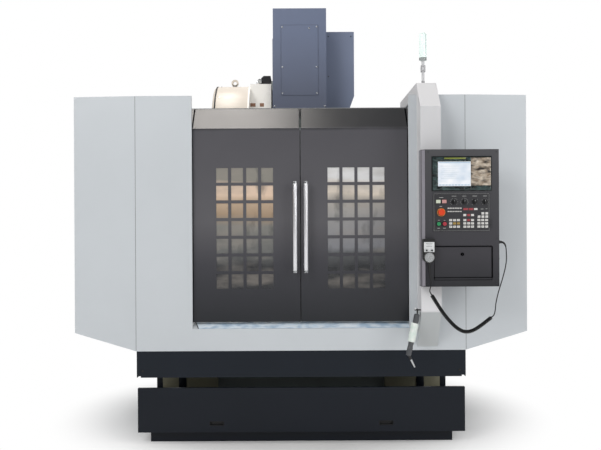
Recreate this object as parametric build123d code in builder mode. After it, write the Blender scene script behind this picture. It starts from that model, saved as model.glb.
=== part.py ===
# Vertical machining centre: cast bed, column and head, a table on two slides, an arm tool
# changer, a two-door sheet metal enclosure, a hinged operator pendant and a coolant tank.
# Millimetres. X is to the operator's right, Y to the back, Z up. The origin is on the floor,
# in the middle of the outer box, leaving the handwheel's cord out.
import os
from math import atan2, cos, pi, radians, sin, tan

from build123d import *

os.makedirs("parts", exist_ok=True)

# Overall sizes
machine_width = 2504.0
machine_depth = 2005.0  # front plane of the enclosure to the back of the cabinet door
sheet = 2.0  # enclosure sheet metal
seat = 0.3  # clearance of a piece that moves on or in another

# Enclosure front
jamb_x = 597.0
jamb_depth = 20.0
seam_x = 908.0
wing_splay = 30.0
wing_return = 25.0
wing_top = 1914.0
wing_bottom = 509.0
wing_rise = 99.0
enclosure_depth = 1290.0  # front plane to the face of the column
roof_flange = 60.0
motor_gap_half_width = 262.0
motor_gap_top = 640.0
slide_gap_half_width = 330.0
slide_gap_bottom = 700.0
sill_low = 630.0
sill_high = 665.0
sill_depth = 60.0
sill_lip = 20.0

# Doors
door_set_back = 25.0
door_thickness = 25.0
door_half_gap = 2.5
door_lap = 15.0
door_bend_z = 1736.0
header_depth = 125.0
header_rise = 125.0
pane_width = 66.0
pane_height = 81.0
pane_bar = 17.0
pane_columns = 4
pane_rows = 7
window_x = 308.0
window_z = 1183.0
glass_thickness = 6.0
glass_margin = 20.0
handle_x = 30.0
handle_low = 939.0
handle_length = 500.0
handle_radius = 12.5
handle_stand_off = 50.0
handle_post_radius = 7.0
handle_post_inset = 36.0
rail_height = 50.0
rail_depth = 30.0

# Skirt, coolant tank and feet
skirt_half_width = 905.0
skirt_thickness = 3.0
skirt_bottom = 364.0
skirt_notch_width = 22.0
skirt_notch_height = 8.0
web_set_back = 440.0
web_height = 130.0
post_inset = 90.0
post_width = 55.0
post_depth = 27.0
tank_inset = 5.0
tank_top = 306.0
tank_bottom = 62.0
tank_wall = 4.0
tank_rim = 215.0
tank_fascia = 24.0
plinth_inset = 62.0
plinth_set_back = 50.0
plinth_wall = 20.0
pull_width = 78.0
pull_height = 24.0
pull_depth = 16.0
pull_z = 110.0
pull_x = 466.0
foot_height = 70.0
foot_radius = 60.0
foot_rim = 16.0
foot_neck_radius = 26.0
foot_neck_z = 40.0
foot_stud_radius = 15.0
foot_inset = 90.0
foot_rows = 3

# Bed and the Y slide
bed_set_back = 500.0
bed_length = 1250.0
bed_half_width = 735.0
bed_rear_half_width = 560.0
bed_waist = 700.0
deck_z = 500.0
lug_inner_x = 510.0
lug_depth = 30.0
lug_height = 310.0
way_height = 60.0
way_width = 100.0
way_x = 280.0
way_length = 740.0
y_screw_rise = 60.0
block_half_width = 60.0
block_length = 55.0
y_block_height = 105.0
screw_radius = 16.0
journal_radius = 10.0
screw_clearance = 0.6
nut_half_width = 50.0
motor_square = 116.0
motor_corner = 10.0
motor_length = 180.0
motor_bell_radius = 38.0
motor_bell_length = 8.0

# Way covers and chip tray
cover_seg_length = 270.0
cover_seg_half_width = 400.0
cover_seg_height = 111.0
cover_seg_step = 5.0  # rise from one segment to the next
cover_seg_spread = 4.0
tray_set_back = 12.0
tray_wall = 60.0
tray_opening = 345.0
tray_lip = 43.0
tray_hole_lead = 15.0  # from the hole's front edge to the bed

# Saddle and table
saddle_half_width = 500.0
saddle_length = 460.0
saddle_height = 130.0
hollow_half_width = 150.0
motor_clearance = 4.0  # between the motor of the Y screw and the saddle over it
y_nut_set_back = 50.0
y_nut_length = 95.0
y_nut_drop = 48.0  # below the underside of the saddle
x_way_width = 60.0
x_way_pitch = 280.0
x_way_height = 70.0
channel_half_width = 70.0
channel_depth = 45.0
x_block_length = 35.0
x_block_height = 95.0
x_screw_rise = 5.0
table_half_width = 500.0
table_length = 500.0
table_thickness = 110.0
rib_width = 30.0
rib_height = 45.0
x_nut_gap = 10.0  # above the floor of the channel
slot_pitch = 150.0
slot_count = 3
slot_width = 18.0
slot_neck = 16.0
slot_foot_width = 32.0
slot_foot_height = 14.0

# Column and the Z slide
column_half_width = 260.0
column_depth = 410.0
column_top = 2215.0
column_foot_half_width = 400.0
column_foot_height = 60.0
column_taper_z = 950.0
arch_half_width = 85.0
arch_height = 150.0
arch_depth = 230.0
z_way_x = 182.5
z_way_width = 65.0
z_way_depth = 90.0
z_way_low = 1000.0
z_way_top = 2190.0
z_block_low = 1150.0
z_block_height = 50.0
z_screw_radius = 20.0
z_journal_radius = 12.5
bracket_half_width = 80.0
bracket_thickness = 30.0
bracket_reach = 110.0

# Head and spindle
throat = 520.0  # spindle axis to the face of the column
slide_top = 2120.0
slide_bottom = 1520.0
slide_thickness = 60.0
gib_width = 20.0
gib_depth = 65.0
z_nut_low = 1850.0
z_nut_height = 120.0
z_nut_depth = 75.0
head_half_width = 140.0
head_front = 158.0  # spindle axis to the front of the casting
head_top = 1900.0
head_bottom = 1600.0
head_heel = 240.0
head_chin = 40.0
barrel_radius = 92.0
barrel_bottom = 1520.0
nose_length = 30.0
nose_radius = 44.5
shaft_radius = 35.0
taper_gauge_radius = 22.225
taper_depth = 68.0
taper_small_radius = 12.5
drawbar_depth = 60.0
drawbar_radius = 8.5
key_width = 15.9
key_height = 8.0
key_length = 18.0
cover_half_width = 166.0
cover_front = 170.0  # spindle axis to the front of the cover
cover_length = 530.0
cover_height = 648.0
cover_lip = 45.0
side_plate_height = 460.0
side_plate_thickness = 3.0
hatch_half_width = 115.0
hatch_rise = 108.0
hatch_height = 436.0
hatch_thickness = 2.0
spindle_motor_square = 200.0
spindle_motor_height = 450.0
spindle_motor_corner = 30.0
eye_radius = 17.0
eye_wire = 6.0
eye_collar_radius = 14.0
eye_collar_height = 6.0
duct_width = 185.0
duct_set_back = 200.0  # from the front of the cover
duct_length = 320.0
duct_drop = 102.0
duct_bottom = 1870.0
duct_corner_z = 2031.0
duct_corner = 60.0

# Tool magazine and changer arm
drum_radius = 345.0
drum_top = 2085.0
drum_left = 523.0
drum_right = 310.0
drum_dome = 33.0
drum_flat_radius = 210.0
drum_step = 12.0
drum_wall = 3.0
gate_length = 150.0
gate_left = 500.0
gate_right = 400.0
gate_depth = 20.0
box_right = 179.0
box_front = 130.0  # spindle axis to the front of the gearbox
box_length = 260.0
box_bottom = 1400.0
hanger_low = 1600.0
hanger_height = 300.0
hanger_thickness = 35.0
hanger_foot = 120.0
hanger_foot_set_back = 40.0
drum_eye_x = 415.0
pocket_count = 20
pocket_circle = 262.0
pocket_radius = 32.0
pocket_sides = 8
pocket_length = 110.0
disc_radius = 290.0
disc_thickness = 15.0
disc_gap = 20.0
axle_radius = 25.0
axle_reach = 40.0
changer_x = 235.0  # arm axis, half way between the spindle and the tool pocket
arm_shaft_radius = 30.0
arm_shaft_length = 200.0
arm_spigot_radius = 15.0
arm_thickness = 35.0
arm_drop = 50.0  # underside of the gearbox to the underside of the arm
arm_bar_width = 62.0
arm_hub_radius = 55.0
grip_radius = 48.0
grip_bore_radius = 32.0
grip_mouth = 52.0
arm_motor_right = 184.0
arm_motor_width = 66.0
arm_motor_length = 180.0
arm_motor_height = 58.0
arm_motor_slope = 22.0
plug_radius = 13.0
plug_length = 24.0

# Electrical cabinet
cabinet_half_width = 500.0
cabinet_bottom = 640.0
cabinet_height = 1440.0
cabinet_wall = 3.0
cabinet_door_thickness = 14.0
cabinet_door_gap = 1.0
cabinet_hinge_inset = 180.0
cabinet_hinge_half = 30.0
cabinet_hinge_reach = 7.0
cabinet_hinge_radius = 5.0
cabinet_leaf = 20.0
cabinet_leaf_thickness = 3.0
cabinet_pin_radius = 2.5
latch_radius = 14.0
latch_length = 3.0
latch_inset = 60.0

# Column that carries the pendant
support_left = 641.0
support_width = 109.0
support_reach = 150.0
support_low_back = 528.0
support_low_front = 737.0
support_high_front = 1829.0
support_high_back = 1978.0
support_run = 740.0
hook_z = 743.0
hook_set_back = 20.0
hook_length = 33.0
hook_radius = 3.5
hook_tip = 12.0
lamp_x = 687.0
lamp_set_back = 60.0
lamp_low = 2113.0
lamp_height = 154.0
lamp_radius = 21.0
lamp_cap = 8.0
stem_radius = 8.0
stem_base_radius = 28.0
stem_base_height = 6.0
stem_joint_z = 2050.0
stem_joint_height = 34.0
stem_joint_half_width = 11.0

# Pendant
pendant_left = 630.0
pendant_right = 1031.0
pendant_low = 876.0
pendant_high = 1589.0
pendant_gap = 15.0  # between its column and its back
pendant_thickness = 95.0
pendant_chamfer = 19.0
knuckle_x = 648.0
knuckle_clear = 0.5
knuckle_height = 30.0
knuckle_inset = 60.0
knuckle_web = 10.0
pin_radius = 3.2
screen_left = 682.0
screen_right = 994.0
screen_low = 1371.0
screen_high = 1553.0
screen_proud = 5.0
screen_thickness = 12.0
screen_edge = 3.0
display_left = 714.0
display_width = 170.9
display_low = 1397.0
display_height = 128.2
display_depth = 1.0
panel_left = 688.0
panel_right = 983.0
panel_low = 1164.0
panel_high = 1361.0
panel_proud = 3.0
panel_thickness = 8.0
panel_ledge = 8.0
control_depth = 40.0
key_x = 799.0
key_z = 1187.0
key_width_x = 16.0
key_height_z = 12.0
key_pitch_x = 20.0
key_pitch_z = 17.0
key_proud = 1.5
key_block_pitch = 73.0
key_blocks = 3
key_rows = 3
key_columns = 3
extra_rise = 9.0  # single row above the middle block

# Controls
estop_x = 730.0
estop_z = 1262.0
estop_radius = 17.0
estop_ring_radius = 21.0
estop_ring_height = 4.0
estop_head_height = 12.0
estop_travel = 4.0
estop_stem_radius = 8.0
estop_round = 4.0
start_x = 717.0
stop_x = 747.0
button_z = 1202.0
button_radius = 10.0
button_proud = 6.0
bezel_width = 3.5
bezel_height = 3.0
power_on_x = 715.0
power_off_x = 746.0
power_z = 1318.0
power_width = 23.0
power_height = 18.0
power_proud = 4.0
stem_length = 20.0  # behind the front of the panel
knob_z = 1315.0
knob_first_x = 797.0
knob_pitch = 53.5
knob_radius = 12.0
knob_skirt = 5.0
knob_grip_width = 8.0
knob_grip_inset = 2.0
knob_height = 14.0

# Compartment
bay_left = 692.0
bay_right = 994.0
bay_low = 909.0
bay_high = 1088.0
bay_depth = 85.0
bay_gap = 3.0
bay_door_thickness = 6.0
bay_pin_radius = 2.0
bay_pin_reach = 3.0
lock_x = 839.0
lock_z = 1044.0
lock_radius = 8.0
lock_proud = 3.0

# Handwheel unit
unit_x = 661.0
unit_half_width = 30.5
unit_wheel_z = 1030.0
unit_top = 1125.0
unit_thickness = 40.0
plate_half_width = 27.0
plate_low = 1057.0
plate_high = 1109.0
plate_proud = 1.5
wheel_radius = 23.5
wheel_height = 12.0
wheel_gap = 2.0
wheel_axle_radius = 5.0
wheel_axle_length = 20.0
selector_x = 14.0
selector_z = 1066.0
selector_radius = 4.5
selector_height = 8.0

# Handwheel cord
lead_radius = 3.0
coil_radius = 8.5
bend_share = 0.45
lead_join = 20.0
tail_join = 15.0
gland_x = 664.7
gland_low = 988.0
gland_radius = 5.0
gland_set_back = 20.0  # behind the front of the handwheel unit
socket_z = 1105.0
socket_set_back = 50.0  # behind the front of the pendant
socket_radius = 9.0
socket_end_radius = 5.0
socket_length = 14.0
side_knob_z = 1019.0
side_knob_radius = 8.0
side_knob_length = 11.0

# Air gun
gun_x = 622.0
gun_lean = 12.5
gun_ring_radius = 14.0
gun_ring_wire = 2.5
gun_cap_radius = 16.0
gun_cap_length = 52.0
gun_body_radius = 20.0
gun_body_length = 100.0
gun_barrel_radius = 15.0
gun_barrel_length = 75.0
gun_shoulder = 3.0
nozzle_lean = 26.0
nozzle_radius = 6.0
nozzle_tip_radius = 4.0
nozzle_length = 76.0

# Places that follow from the sizes
half_width = machine_width / 2
front_reach = (
    support_reach + pendant_gap + pendant_thickness + unit_thickness + wheel_gap + wheel_height
)
front_y = (front_reach - machine_depth) / 2
column_y = front_y + enclosure_depth
spindle_y = column_y - throat
enclosure_back = column_y - seat - sheet
door_y = front_y + door_set_back
header_y = door_y + header_depth
header_top = door_bend_z + header_rise
side_x = half_width - sheet
side_low = wing_bottom + wing_rise
tray_half_width = skirt_half_width - skirt_thickness
post_x = skirt_half_width - post_inset
tank_half_width = skirt_half_width - tank_inset
plinth_half_width = tank_half_width - plinth_inset
post_y = front_y + web_set_back + skirt_thickness
tank_back = post_y - seat
bed_y = front_y + bed_set_back
bed_back = bed_y + bed_length
way_top = deck_z + way_height
y_screw_z = deck_z + y_screw_rise
y_motor_y = column_y - block_length
tray_floor = deck_z + sheet
saddle_bottom = way_top + seat
saddle_top = way_top + saddle_height
hollow_depth = y_screw_z + motor_square / 2 + motor_clearance - saddle_bottom
saddle_front = spindle_y - saddle_length / 2
x_way_top = saddle_top + x_way_height
table_bottom = x_way_top + seat
table_top = x_way_top + table_thickness
x_screw_z = saddle_top + x_screw_rise
channel_z = saddle_top - channel_depth
z_way_y = column_y - z_way_depth
z_screw_y = column_y - z_way_depth / 2
slide_back = z_way_y - seat
slide_y = slide_back - slide_thickness
cover_y = spindle_y - cover_front
cover_top = head_top + cover_height
side_plate_top = head_top + side_plate_height
hatch_low = head_top + hatch_rise
hatch_high = hatch_low + hatch_height
duct_top = cover_top - duct_drop
nose_bottom = barrel_bottom - nose_length
drum_z = drum_top - drum_radius
arm_low = box_bottom - arm_drop
cabinet_y = column_y + column_depth
cabinet_back = front_y + machine_depth
support_y = front_y - support_reach
pendant_back = support_y - pendant_gap
pendant_front = pendant_back - pendant_thickness
panel_front = pendant_front - panel_proud
knuckle_y = support_y - pendant_gap / 2
knuckle_radius = pendant_gap / 2 - knuckle_clear
unit_front = pendant_front - unit_thickness
bay_axis_y = pendant_front + bay_door_thickness / 2
bay_axis_z = bay_low + bay_gap + bay_door_thickness / 2
sides = {"left": -1, "right": 1}


def front_view(y):
    """Sketch plane with X to the right and Z up. Its normal points at the operator."""
    return Plane.XZ.offset(-y)


def side_view(x):
    """Sketch plane with Y to the right and Z up. Its normal points along X."""
    return Plane.YZ.offset(x)


def top_view(z):
    """Sketch plane with X to the right and Y up. Its normal points up."""
    return Plane.XY.offset(z)


def span(low_a, high_a, low_b, high_b):
    """A rectangle in the open sketch, given by its two limits each way."""
    with Locations(((low_a + high_a) / 2, (low_b + high_b) / 2)):
        Rectangle(abs(high_a - low_a), abs(high_b - low_b))


def spot(a, b, radius):
    """A circle in the open sketch."""
    with Locations((a, b)):
        Circle(radius)


def cover_segment(level, rear_y):
    """One folded segment of the way cover. A higher level slides over a lower one."""
    reach = cover_seg_half_width + level * cover_seg_spread
    top = deck_z + cover_seg_height + level * cover_seg_step
    low = tray_floor + seat * min(level, 1)
    with BuildPart() as segment:
        with BuildSketch(front_view(rear_y)):
            with BuildLine():
                Polyline((-reach, low), (-reach, top), (reach, top), (reach, low))
                offset(amount=sheet, side=Side.RIGHT, kind=Kind.INTERSECTION)
            make_face()
        extrude(amount=cover_seg_length)
    return segment.part


upright = (Align.CENTER, Align.CENTER, Align.MIN)


# Bed
with BuildPart() as bed:
    waist_y = bed_y + bed_waist
    with BuildSketch(top_view(foot_height)):
        with BuildLine():
            Polyline(
                (0, bed_y),
                (bed_half_width, bed_y),
                (bed_half_width, waist_y),
                (bed_rear_half_width, waist_y + bed_half_width - bed_rear_half_width),
                (bed_rear_half_width, bed_back),
                (0, bed_back),
            )
            mirror(about=Plane.YZ)
        make_face()
    extrude(amount=deck_z - foot_height)
    with BuildSketch(top_view(foot_height)):
        for side in sides.values():
            span(side * lug_inner_x, side * bed_half_width, bed_y - lug_depth, bed_y)
    extrude(amount=lug_height)
    with BuildSketch(top_view(deck_z)):
        with Locations((0, bed_y + way_length / 2)):
            with GridLocations(2 * way_x, way_length, 2, 1):
                Rectangle(way_width, way_length)
    extrude(amount=way_height)
    with BuildSketch(top_view(deck_z)):
        span(-block_half_width, block_half_width, bed_y, bed_y + block_length)
        span(-block_half_width, block_half_width, y_motor_y - block_length, y_motor_y)
    extrude(amount=y_block_height)
    with BuildSketch(front_view(y_motor_y)):
        spot(0, y_screw_z, journal_radius + seat)
    extrude(amount=y_motor_y - bed_y, mode=Mode.SUBTRACT)
bed.part.label = "bed"
export_step(bed.part, "parts/bed.step")

# Levelling feet under the two edges of the bed
with BuildPart() as leveling_feet:
    for row in range(foot_rows):
        edge_x = bed_rear_half_width if row == foot_rows - 1 else bed_half_width
        foot_x = edge_x - foot_inset
        foot_y = bed_y + foot_inset + row * (bed_length - 2 * foot_inset) / (foot_rows - 1)
        with Locations((-foot_x, foot_y, 0), (foot_x, foot_y, 0)):
            Cylinder(foot_radius, foot_rim, align=upright)
        with Locations((-foot_x, foot_y, foot_rim), (foot_x, foot_y, foot_rim)):
            Cone(foot_radius, foot_neck_radius, foot_neck_z - foot_rim, align=upright)
        with Locations((-foot_x, foot_y, foot_neck_z), (foot_x, foot_y, foot_neck_z)):
            Cylinder(foot_stud_radius, foot_height - foot_neck_z, align=upright)
leveling_feet.part.label = "leveling_feet"
export_step(leveling_feet.part, "parts/leveling_feet.step")

# Column with its box ways, screw block, motor bracket and the arch for the Y motor
with BuildPart() as column:
    with BuildSketch(front_view(column_y)):
        with BuildLine():
            Polyline(
                (0, deck_z),
                (column_foot_half_width, deck_z),
                (column_foot_half_width, deck_z + column_foot_height),
                (column_half_width, column_taper_z),
                (column_half_width, column_top),
                (0, column_top),
            )
            mirror(about=Plane.YZ)
        make_face()
    extrude(amount=-column_depth)
    with BuildSketch(top_view(z_way_low)):
        with Locations((0, column_y - z_way_depth / 2)):
            with GridLocations(2 * z_way_x, z_way_depth, 2, 1):
                Rectangle(z_way_width, z_way_depth)
    extrude(amount=z_way_top - z_way_low)
    with BuildSketch(top_view(z_block_low)):
        span(-block_half_width, block_half_width, z_way_y, column_y)
    extrude(amount=z_block_height)
    with BuildSketch(top_view(column_top)):
        span(-bracket_half_width, bracket_half_width, column_y - bracket_reach, column_y)
    extrude(amount=-bracket_thickness)
    with BuildSketch(top_view(z_block_low)):
        spot(0, z_screw_y, z_journal_radius + seat)
    extrude(amount=column_top - z_block_low, mode=Mode.SUBTRACT)
    with BuildSketch(front_view(column_y)):
        span(-arch_half_width, arch_half_width, deck_z, deck_z + arch_height)
    extrude(amount=-arch_depth, mode=Mode.SUBTRACT)
column.part.label = "column"
export_step(column.part, "parts/column.step")

# Servo motors of the Y screw and the Z screw, and the motor of the changer arm
with BuildPart() as servo_motors:
    y_motor_face = Plane((0, y_motor_y, y_screw_z), x_dir=(1, 0, 0), z_dir=(0, 1, 0))
    z_motor_face = Plane((0, z_screw_y, column_top))
    for face in (y_motor_face, z_motor_face):
        with BuildSketch(face):
            RectangleRounded(motor_square, motor_square, motor_corner)
        extrude(amount=motor_length)
        with BuildSketch(face.offset(motor_length)):
            Circle(motor_bell_radius)
        extrude(amount=motor_bell_length)
    arm_motor_left = arm_motor_right + arm_motor_width
    arm_motor_top = drum_top + arm_motor_height
    with BuildSketch(front_view(spindle_y - arm_motor_length / 2)):
        with BuildLine():
            Polyline(
                (-arm_motor_right, drum_top),
                (-arm_motor_right, arm_motor_top),
                (-arm_motor_left + arm_motor_slope, arm_motor_top),
                (-arm_motor_left, arm_motor_top - arm_motor_slope),
                (-arm_motor_left, drum_top),
                close=True,
            )
        make_face()
    extrude(amount=-arm_motor_length)
    with BuildSketch(side_view(-arm_motor_left)):
        spot(spindle_y - arm_motor_length / 4, drum_top + arm_motor_slope, plug_radius)
    extrude(amount=-plug_length)
servo_motors.part.label = "servo_motors"
export_step(servo_motors.part, "parts/servo_motors.step")

# Skirt with notched lower corners, a rear web and two posts
with BuildPart() as base_skirt:
    with BuildSketch(top_view(skirt_bottom)):
        with BuildLine():
            Polyline(
                (-skirt_half_width, enclosure_back),
                (-skirt_half_width, front_y),
                (skirt_half_width, front_y),
                (skirt_half_width, enclosure_back),
            )
            offset(amount=skirt_thickness, side=Side.LEFT, kind=Kind.INTERSECTION)
        make_face()
    extrude(amount=wing_bottom - skirt_bottom)
    with BuildSketch(front_view(front_y)):
        for side in sides.values():
            span(
                side * (skirt_half_width - skirt_notch_width),
                side * skirt_half_width,
                skirt_bottom,
                skirt_bottom + skirt_notch_height,
            )
    extrude(amount=-skirt_thickness, mode=Mode.SUBTRACT)
    for side in sides.values():
        with BuildSketch(top_view(skirt_bottom)):
            span(side * post_x, side * tray_half_width, post_y - skirt_thickness, post_y)
        extrude(amount=web_height)
        with BuildSketch(top_view(0)):
            span(side * post_x, side * (post_x + post_width), post_y, post_y + post_depth)
        extrude(amount=skirt_bottom + web_height)
base_skirt.part.label = "base_skirt"
export_step(base_skirt.part, "parts/base_skirt.step")


def front_panel(side):
    """Folded wing panel beside the doors, seen from the front on the given side."""
    with BuildPart() as wing:
        outer_x = side * half_width
        with BuildSketch(top_view(wing_bottom)):
            with BuildLine():
                Polyline(
                    (side * jamb_x, front_y + jamb_depth),
                    (side * jamb_x, front_y),
                    (side * seam_x, front_y),
                    (outer_x, front_y + wing_splay),
                    (outer_x, front_y + wing_splay + wing_return),
                )
                inward = Side.LEFT if side > 0 else Side.RIGHT
                offset(amount=sheet, side=inward, kind=Kind.INTERSECTION)
            make_face()
        extrude(amount=wing_top - wing_bottom)
        with BuildSketch(front_view(front_y)):
            with BuildLine():
                Polyline(
                    (side * skirt_half_width, wing_bottom),
                    (outer_x, wing_bottom),
                    (outer_x, side_low),
                    close=True,
                )
            make_face()
            if side > 0:
                span(jamb_x, support_left, wing_bottom, sill_low)
        extrude(amount=-(wing_splay + wing_return), mode=Mode.SUBTRACT)
        with BuildSketch(front_view(front_y + sheet)):
            span(side * jamb_x, side * (jamb_x + sheet), wing_bottom, sill_low)
        extrude(amount=sheet - jamb_depth, mode=Mode.SUBTRACT)
    return wing.part


with BuildPart() as front_panel_left:
    add(front_panel(sides["left"]))
front_panel_left.part.label = "front_panel_left"
export_step(front_panel_left.part, "parts/front_panel_left.step")

with BuildPart() as front_panel_right:
    add(front_panel(sides["right"]))
front_panel_right.part.label = "front_panel_right"
export_step(front_panel_right.part, "parts/front_panel_right.step")

# Lower front panel, folded back into the sloped sill
with BuildPart() as front_sill:
    with BuildSketch(side_view(-jamb_x)):
        with BuildLine():
            Polyline(
                (front_y, wing_bottom),
                (front_y, sill_low),
                (front_y + sill_depth, sill_high),
                (front_y + sill_depth, sill_high - sill_lip),
            )
            offset(amount=sheet, side=Side.RIGHT, kind=Kind.INTERSECTION)
        make_face()
    extrude(amount=2 * jamb_x)
    with BuildSketch(front_view(front_y)):
        span(jamb_x, support_left, wing_bottom, sill_low)
    extrude(amount=-sheet)
front_sill.part.label = "front_sill"
export_step(front_sill.part, "parts/front_sill.step")

# Side panels, folded in at the roof and below as one side of the chip hopper
with BuildPart() as side_panel_right:
    side_front = front_y + wing_splay + 2 * sheet
    with BuildSketch(front_view(side_front)):
        with BuildLine():
            Polyline(
                (side_x - roof_flange, wing_top),
                (side_x, wing_top),
                (side_x, side_low),
                (skirt_half_width + sheet, wing_bottom),
                (skirt_half_width + sheet, deck_z),
            )
            offset(amount=sheet, side=Side.RIGHT, kind=Kind.INTERSECTION)
        make_face()
    extrude(amount=-(enclosure_back - side_front))
side_panel_right.part.label = "side_panel_right"
export_step(side_panel_right.part, "parts/side_panel_right.step")

with BuildPart() as side_panel_left:
    add(mirror(side_panel_right.part, about=Plane.YZ, mode=Mode.PRIVATE))
side_panel_left.part.label = "side_panel_left"
export_step(side_panel_left.part, "parts/side_panel_left.step")

# Rear panel, cut out for the Y motor, the head slide and the magazine hanger
with BuildPart() as rear_panel:
    with BuildSketch(front_view(column_y - seat)):
        with BuildLine():
            Polyline(
                (0, wing_bottom),
                (skirt_half_width, wing_bottom),
                (side_x, side_low),
                (side_x, wing_top),
                (0, wing_top),
            )
            mirror(about=Plane.YZ)
        make_face()
    extrude(amount=sheet)
    with BuildSketch(front_view(column_y - seat)):
        span(-motor_gap_half_width, motor_gap_half_width, wing_bottom, motor_gap_top)
        span(-slide_gap_half_width, slide_gap_half_width, slide_gap_bottom, wing_top)
    extrude(amount=sheet, mode=Mode.SUBTRACT)
rear_panel.part.label = "rear_panel"
export_step(rear_panel.part, "parts/rear_panel.step")

# Chip tray around the bed, with the fixed segment of the way cover
with BuildPart() as chip_tray:
    tray_front = front_y + tray_set_back
    hole_front = bed_y - tray_hole_lead
    hole_edge = tray_opening + sheet
    with BuildSketch(top_view(deck_z)):
        span(-tray_half_width, tray_half_width, tray_front, enclosure_back)
    extrude(amount=sheet)
    with BuildSketch(top_view(deck_z)):
        span(-tray_half_width, tray_half_width, tray_front, tray_front + sheet)
    extrude(amount=tray_wall)
    with BuildSketch(top_view(deck_z)):
        for side in sides.values():
            span(
                side * (tray_half_width - sheet),
                side * tray_half_width,
                tray_front,
                enclosure_back,
            )
    extrude(amount=wing_bottom - deck_z)
    with BuildSketch(top_view(deck_z)):
        span(-hole_edge, hole_edge, hole_front - sheet, enclosure_back)
    extrude(amount=sheet + tray_lip)
    with BuildSketch(top_view(deck_z)):
        span(-tray_opening, tray_opening, hole_front, enclosure_back)
    extrude(amount=sheet + tray_lip, mode=Mode.SUBTRACT)
    add(cover_segment(0, tray_front + sheet + cover_seg_length))
chip_tray.part.label = "chip_tray"
export_step(chip_tray.part, "parts/chip_tray.step")

# Rail that the two doors hang from
with BuildPart() as door_rail:
    with BuildSketch(front_view(header_y + seat)):
        rail_end = side_x - sheet
        rail_top = header_top + 2 * sheet
        span(-rail_end, rail_end, rail_top - rail_height, rail_top)
    extrude(amount=-rail_depth)
door_rail.part.label = "door_rail"
export_step(door_rail.part, "parts/door_rail.step")

# Sheet metal column that carries the pendant, with its lamp stem, hinge and air gun hook
with BuildPart() as pendant_column:
    support_right = support_left + support_width
    with BuildSketch(side_view(support_left)):
        with BuildLine():
            Polyline(
                (front_y, support_low_back),
                (support_y, support_low_front),
                (support_y, support_high_front),
                (front_y, support_high_back),
                (front_y + support_run, support_high_back),
                (front_y + support_run, wing_top),
                (front_y, wing_top),
                close=True,
            )
        make_face()
    extrude(amount=support_width)
    against_wing = pendant_column.faces().filter_by(Axis.Y).filter_by(
        lambda face: abs(face.center().Y - front_y) < sheet
    )
    offset(amount=-sheet, openings=against_wing)
    lamp_y = front_y + lamp_set_back
    with Locations((lamp_x, lamp_y, support_high_back)):
        Cylinder(stem_base_radius, stem_base_height, align=upright)
        Cylinder(stem_radius, lamp_low - support_high_back, align=upright)
    with Locations((lamp_x, lamp_y, stem_joint_z)):
        Box(2 * stem_joint_half_width, 2 * stem_joint_half_width, stem_joint_height, align=upright)
    hook_y = support_y + hook_set_back
    hook_end = support_left - hook_length
    with BuildSketch(side_view(hook_end)):
        spot(hook_y, hook_z, hook_radius)
    extrude(amount=hook_length + sheet)
    with Locations((hook_end + hook_radius, hook_y, hook_z)):
        Cylinder(hook_radius, hook_tip, align=upright)
    hinge_low = pendant_low + knuckle_inset
    hinge_high = pendant_high - knuckle_inset - 2 * knuckle_height
    for z in (hinge_low, hinge_high):
        with BuildSketch(top_view(z)):
            spot(knuckle_x, knuckle_y, knuckle_radius)
            span(
                knuckle_x - knuckle_web / 2,
                knuckle_x + knuckle_web / 2,
                knuckle_y,
                support_y,
            )
        extrude(amount=knuckle_height)
        with Locations((knuckle_x, knuckle_y, z)):
            Cylinder(pin_radius, 2 * knuckle_height, align=upright)
pendant_column.part.label = "pendant_column"
export_step(pendant_column.part, "parts/pendant_column.step")

# Signal lamp
with BuildPart() as signal_lamp:
    with Locations((lamp_x, lamp_y, lamp_low)):
        Cylinder(lamp_radius, lamp_height, align=upright)
    chamfer(signal_lamp.edges().sort_by(Axis.Z)[-1], length=lamp_cap)
signal_lamp.part.label = "signal_lamp"
export_step(signal_lamp.part, "parts/signal_lamp.step")

# Air gun hanging from its hook by a ring
with BuildPart() as air_gun:
    ring_z = hook_z + hook_radius + seat - (gun_ring_radius - gun_ring_wire)
    gun_top_z = ring_z - gun_ring_radius
    lean = radians(gun_lean)
    gun_axis = Axis((gun_x, hook_y, gun_top_z), (sin(lean), 0, cos(lean)))
    gun_plane = Plane((gun_x, hook_y, gun_top_z), x_dir=(cos(lean), 0, -sin(lean)), z_dir=(0, -1, 0))
    body_low = -gun_cap_length - gun_body_length
    barrel_low = body_low - gun_barrel_length
    with BuildSketch(gun_plane):
        with BuildLine():
            Polyline(
                (0, 0),
                (gun_cap_radius, 0),
                (gun_cap_radius, -gun_cap_length),
                (gun_body_radius, -gun_cap_length - gun_shoulder),
                (gun_body_radius, body_low),
                (gun_barrel_radius, body_low),
                (gun_barrel_radius, barrel_low),
                (0, barrel_low),
                close=True,
            )
        make_face()
    revolve(axis=gun_axis)
    with BuildSketch(side_view(gun_x - gun_ring_wire)):
        spot(hook_y, ring_z, gun_ring_radius + gun_ring_wire)
        with Locations((hook_y, ring_z)):
            Circle(gun_ring_radius - gun_ring_wire, mode=Mode.SUBTRACT)
    extrude(amount=2 * gun_ring_wire)
    nozzle_top = gun_plane.from_local_coords((0, barrel_low + gun_shoulder, 0))
    turn = radians(nozzle_lean)
    nozzle_plane = Plane(nozzle_top, x_dir=(cos(turn), 0, sin(turn)), z_dir=(0, -1, 0))
    nozzle_axis = Axis(nozzle_top, (-sin(turn), 0, cos(turn)))
    with BuildSketch(nozzle_plane):
        with BuildLine():
            Polyline(
                (0, 0),
                (nozzle_radius, 0),
                (nozzle_tip_radius, -nozzle_length),
                (0, -nozzle_length),
                close=True,
            )
        make_face()
    revolve(axis=nozzle_axis)
air_gun.part.label = "air_gun"
export_step(air_gun.part, "parts/air_gun.step")

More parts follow.
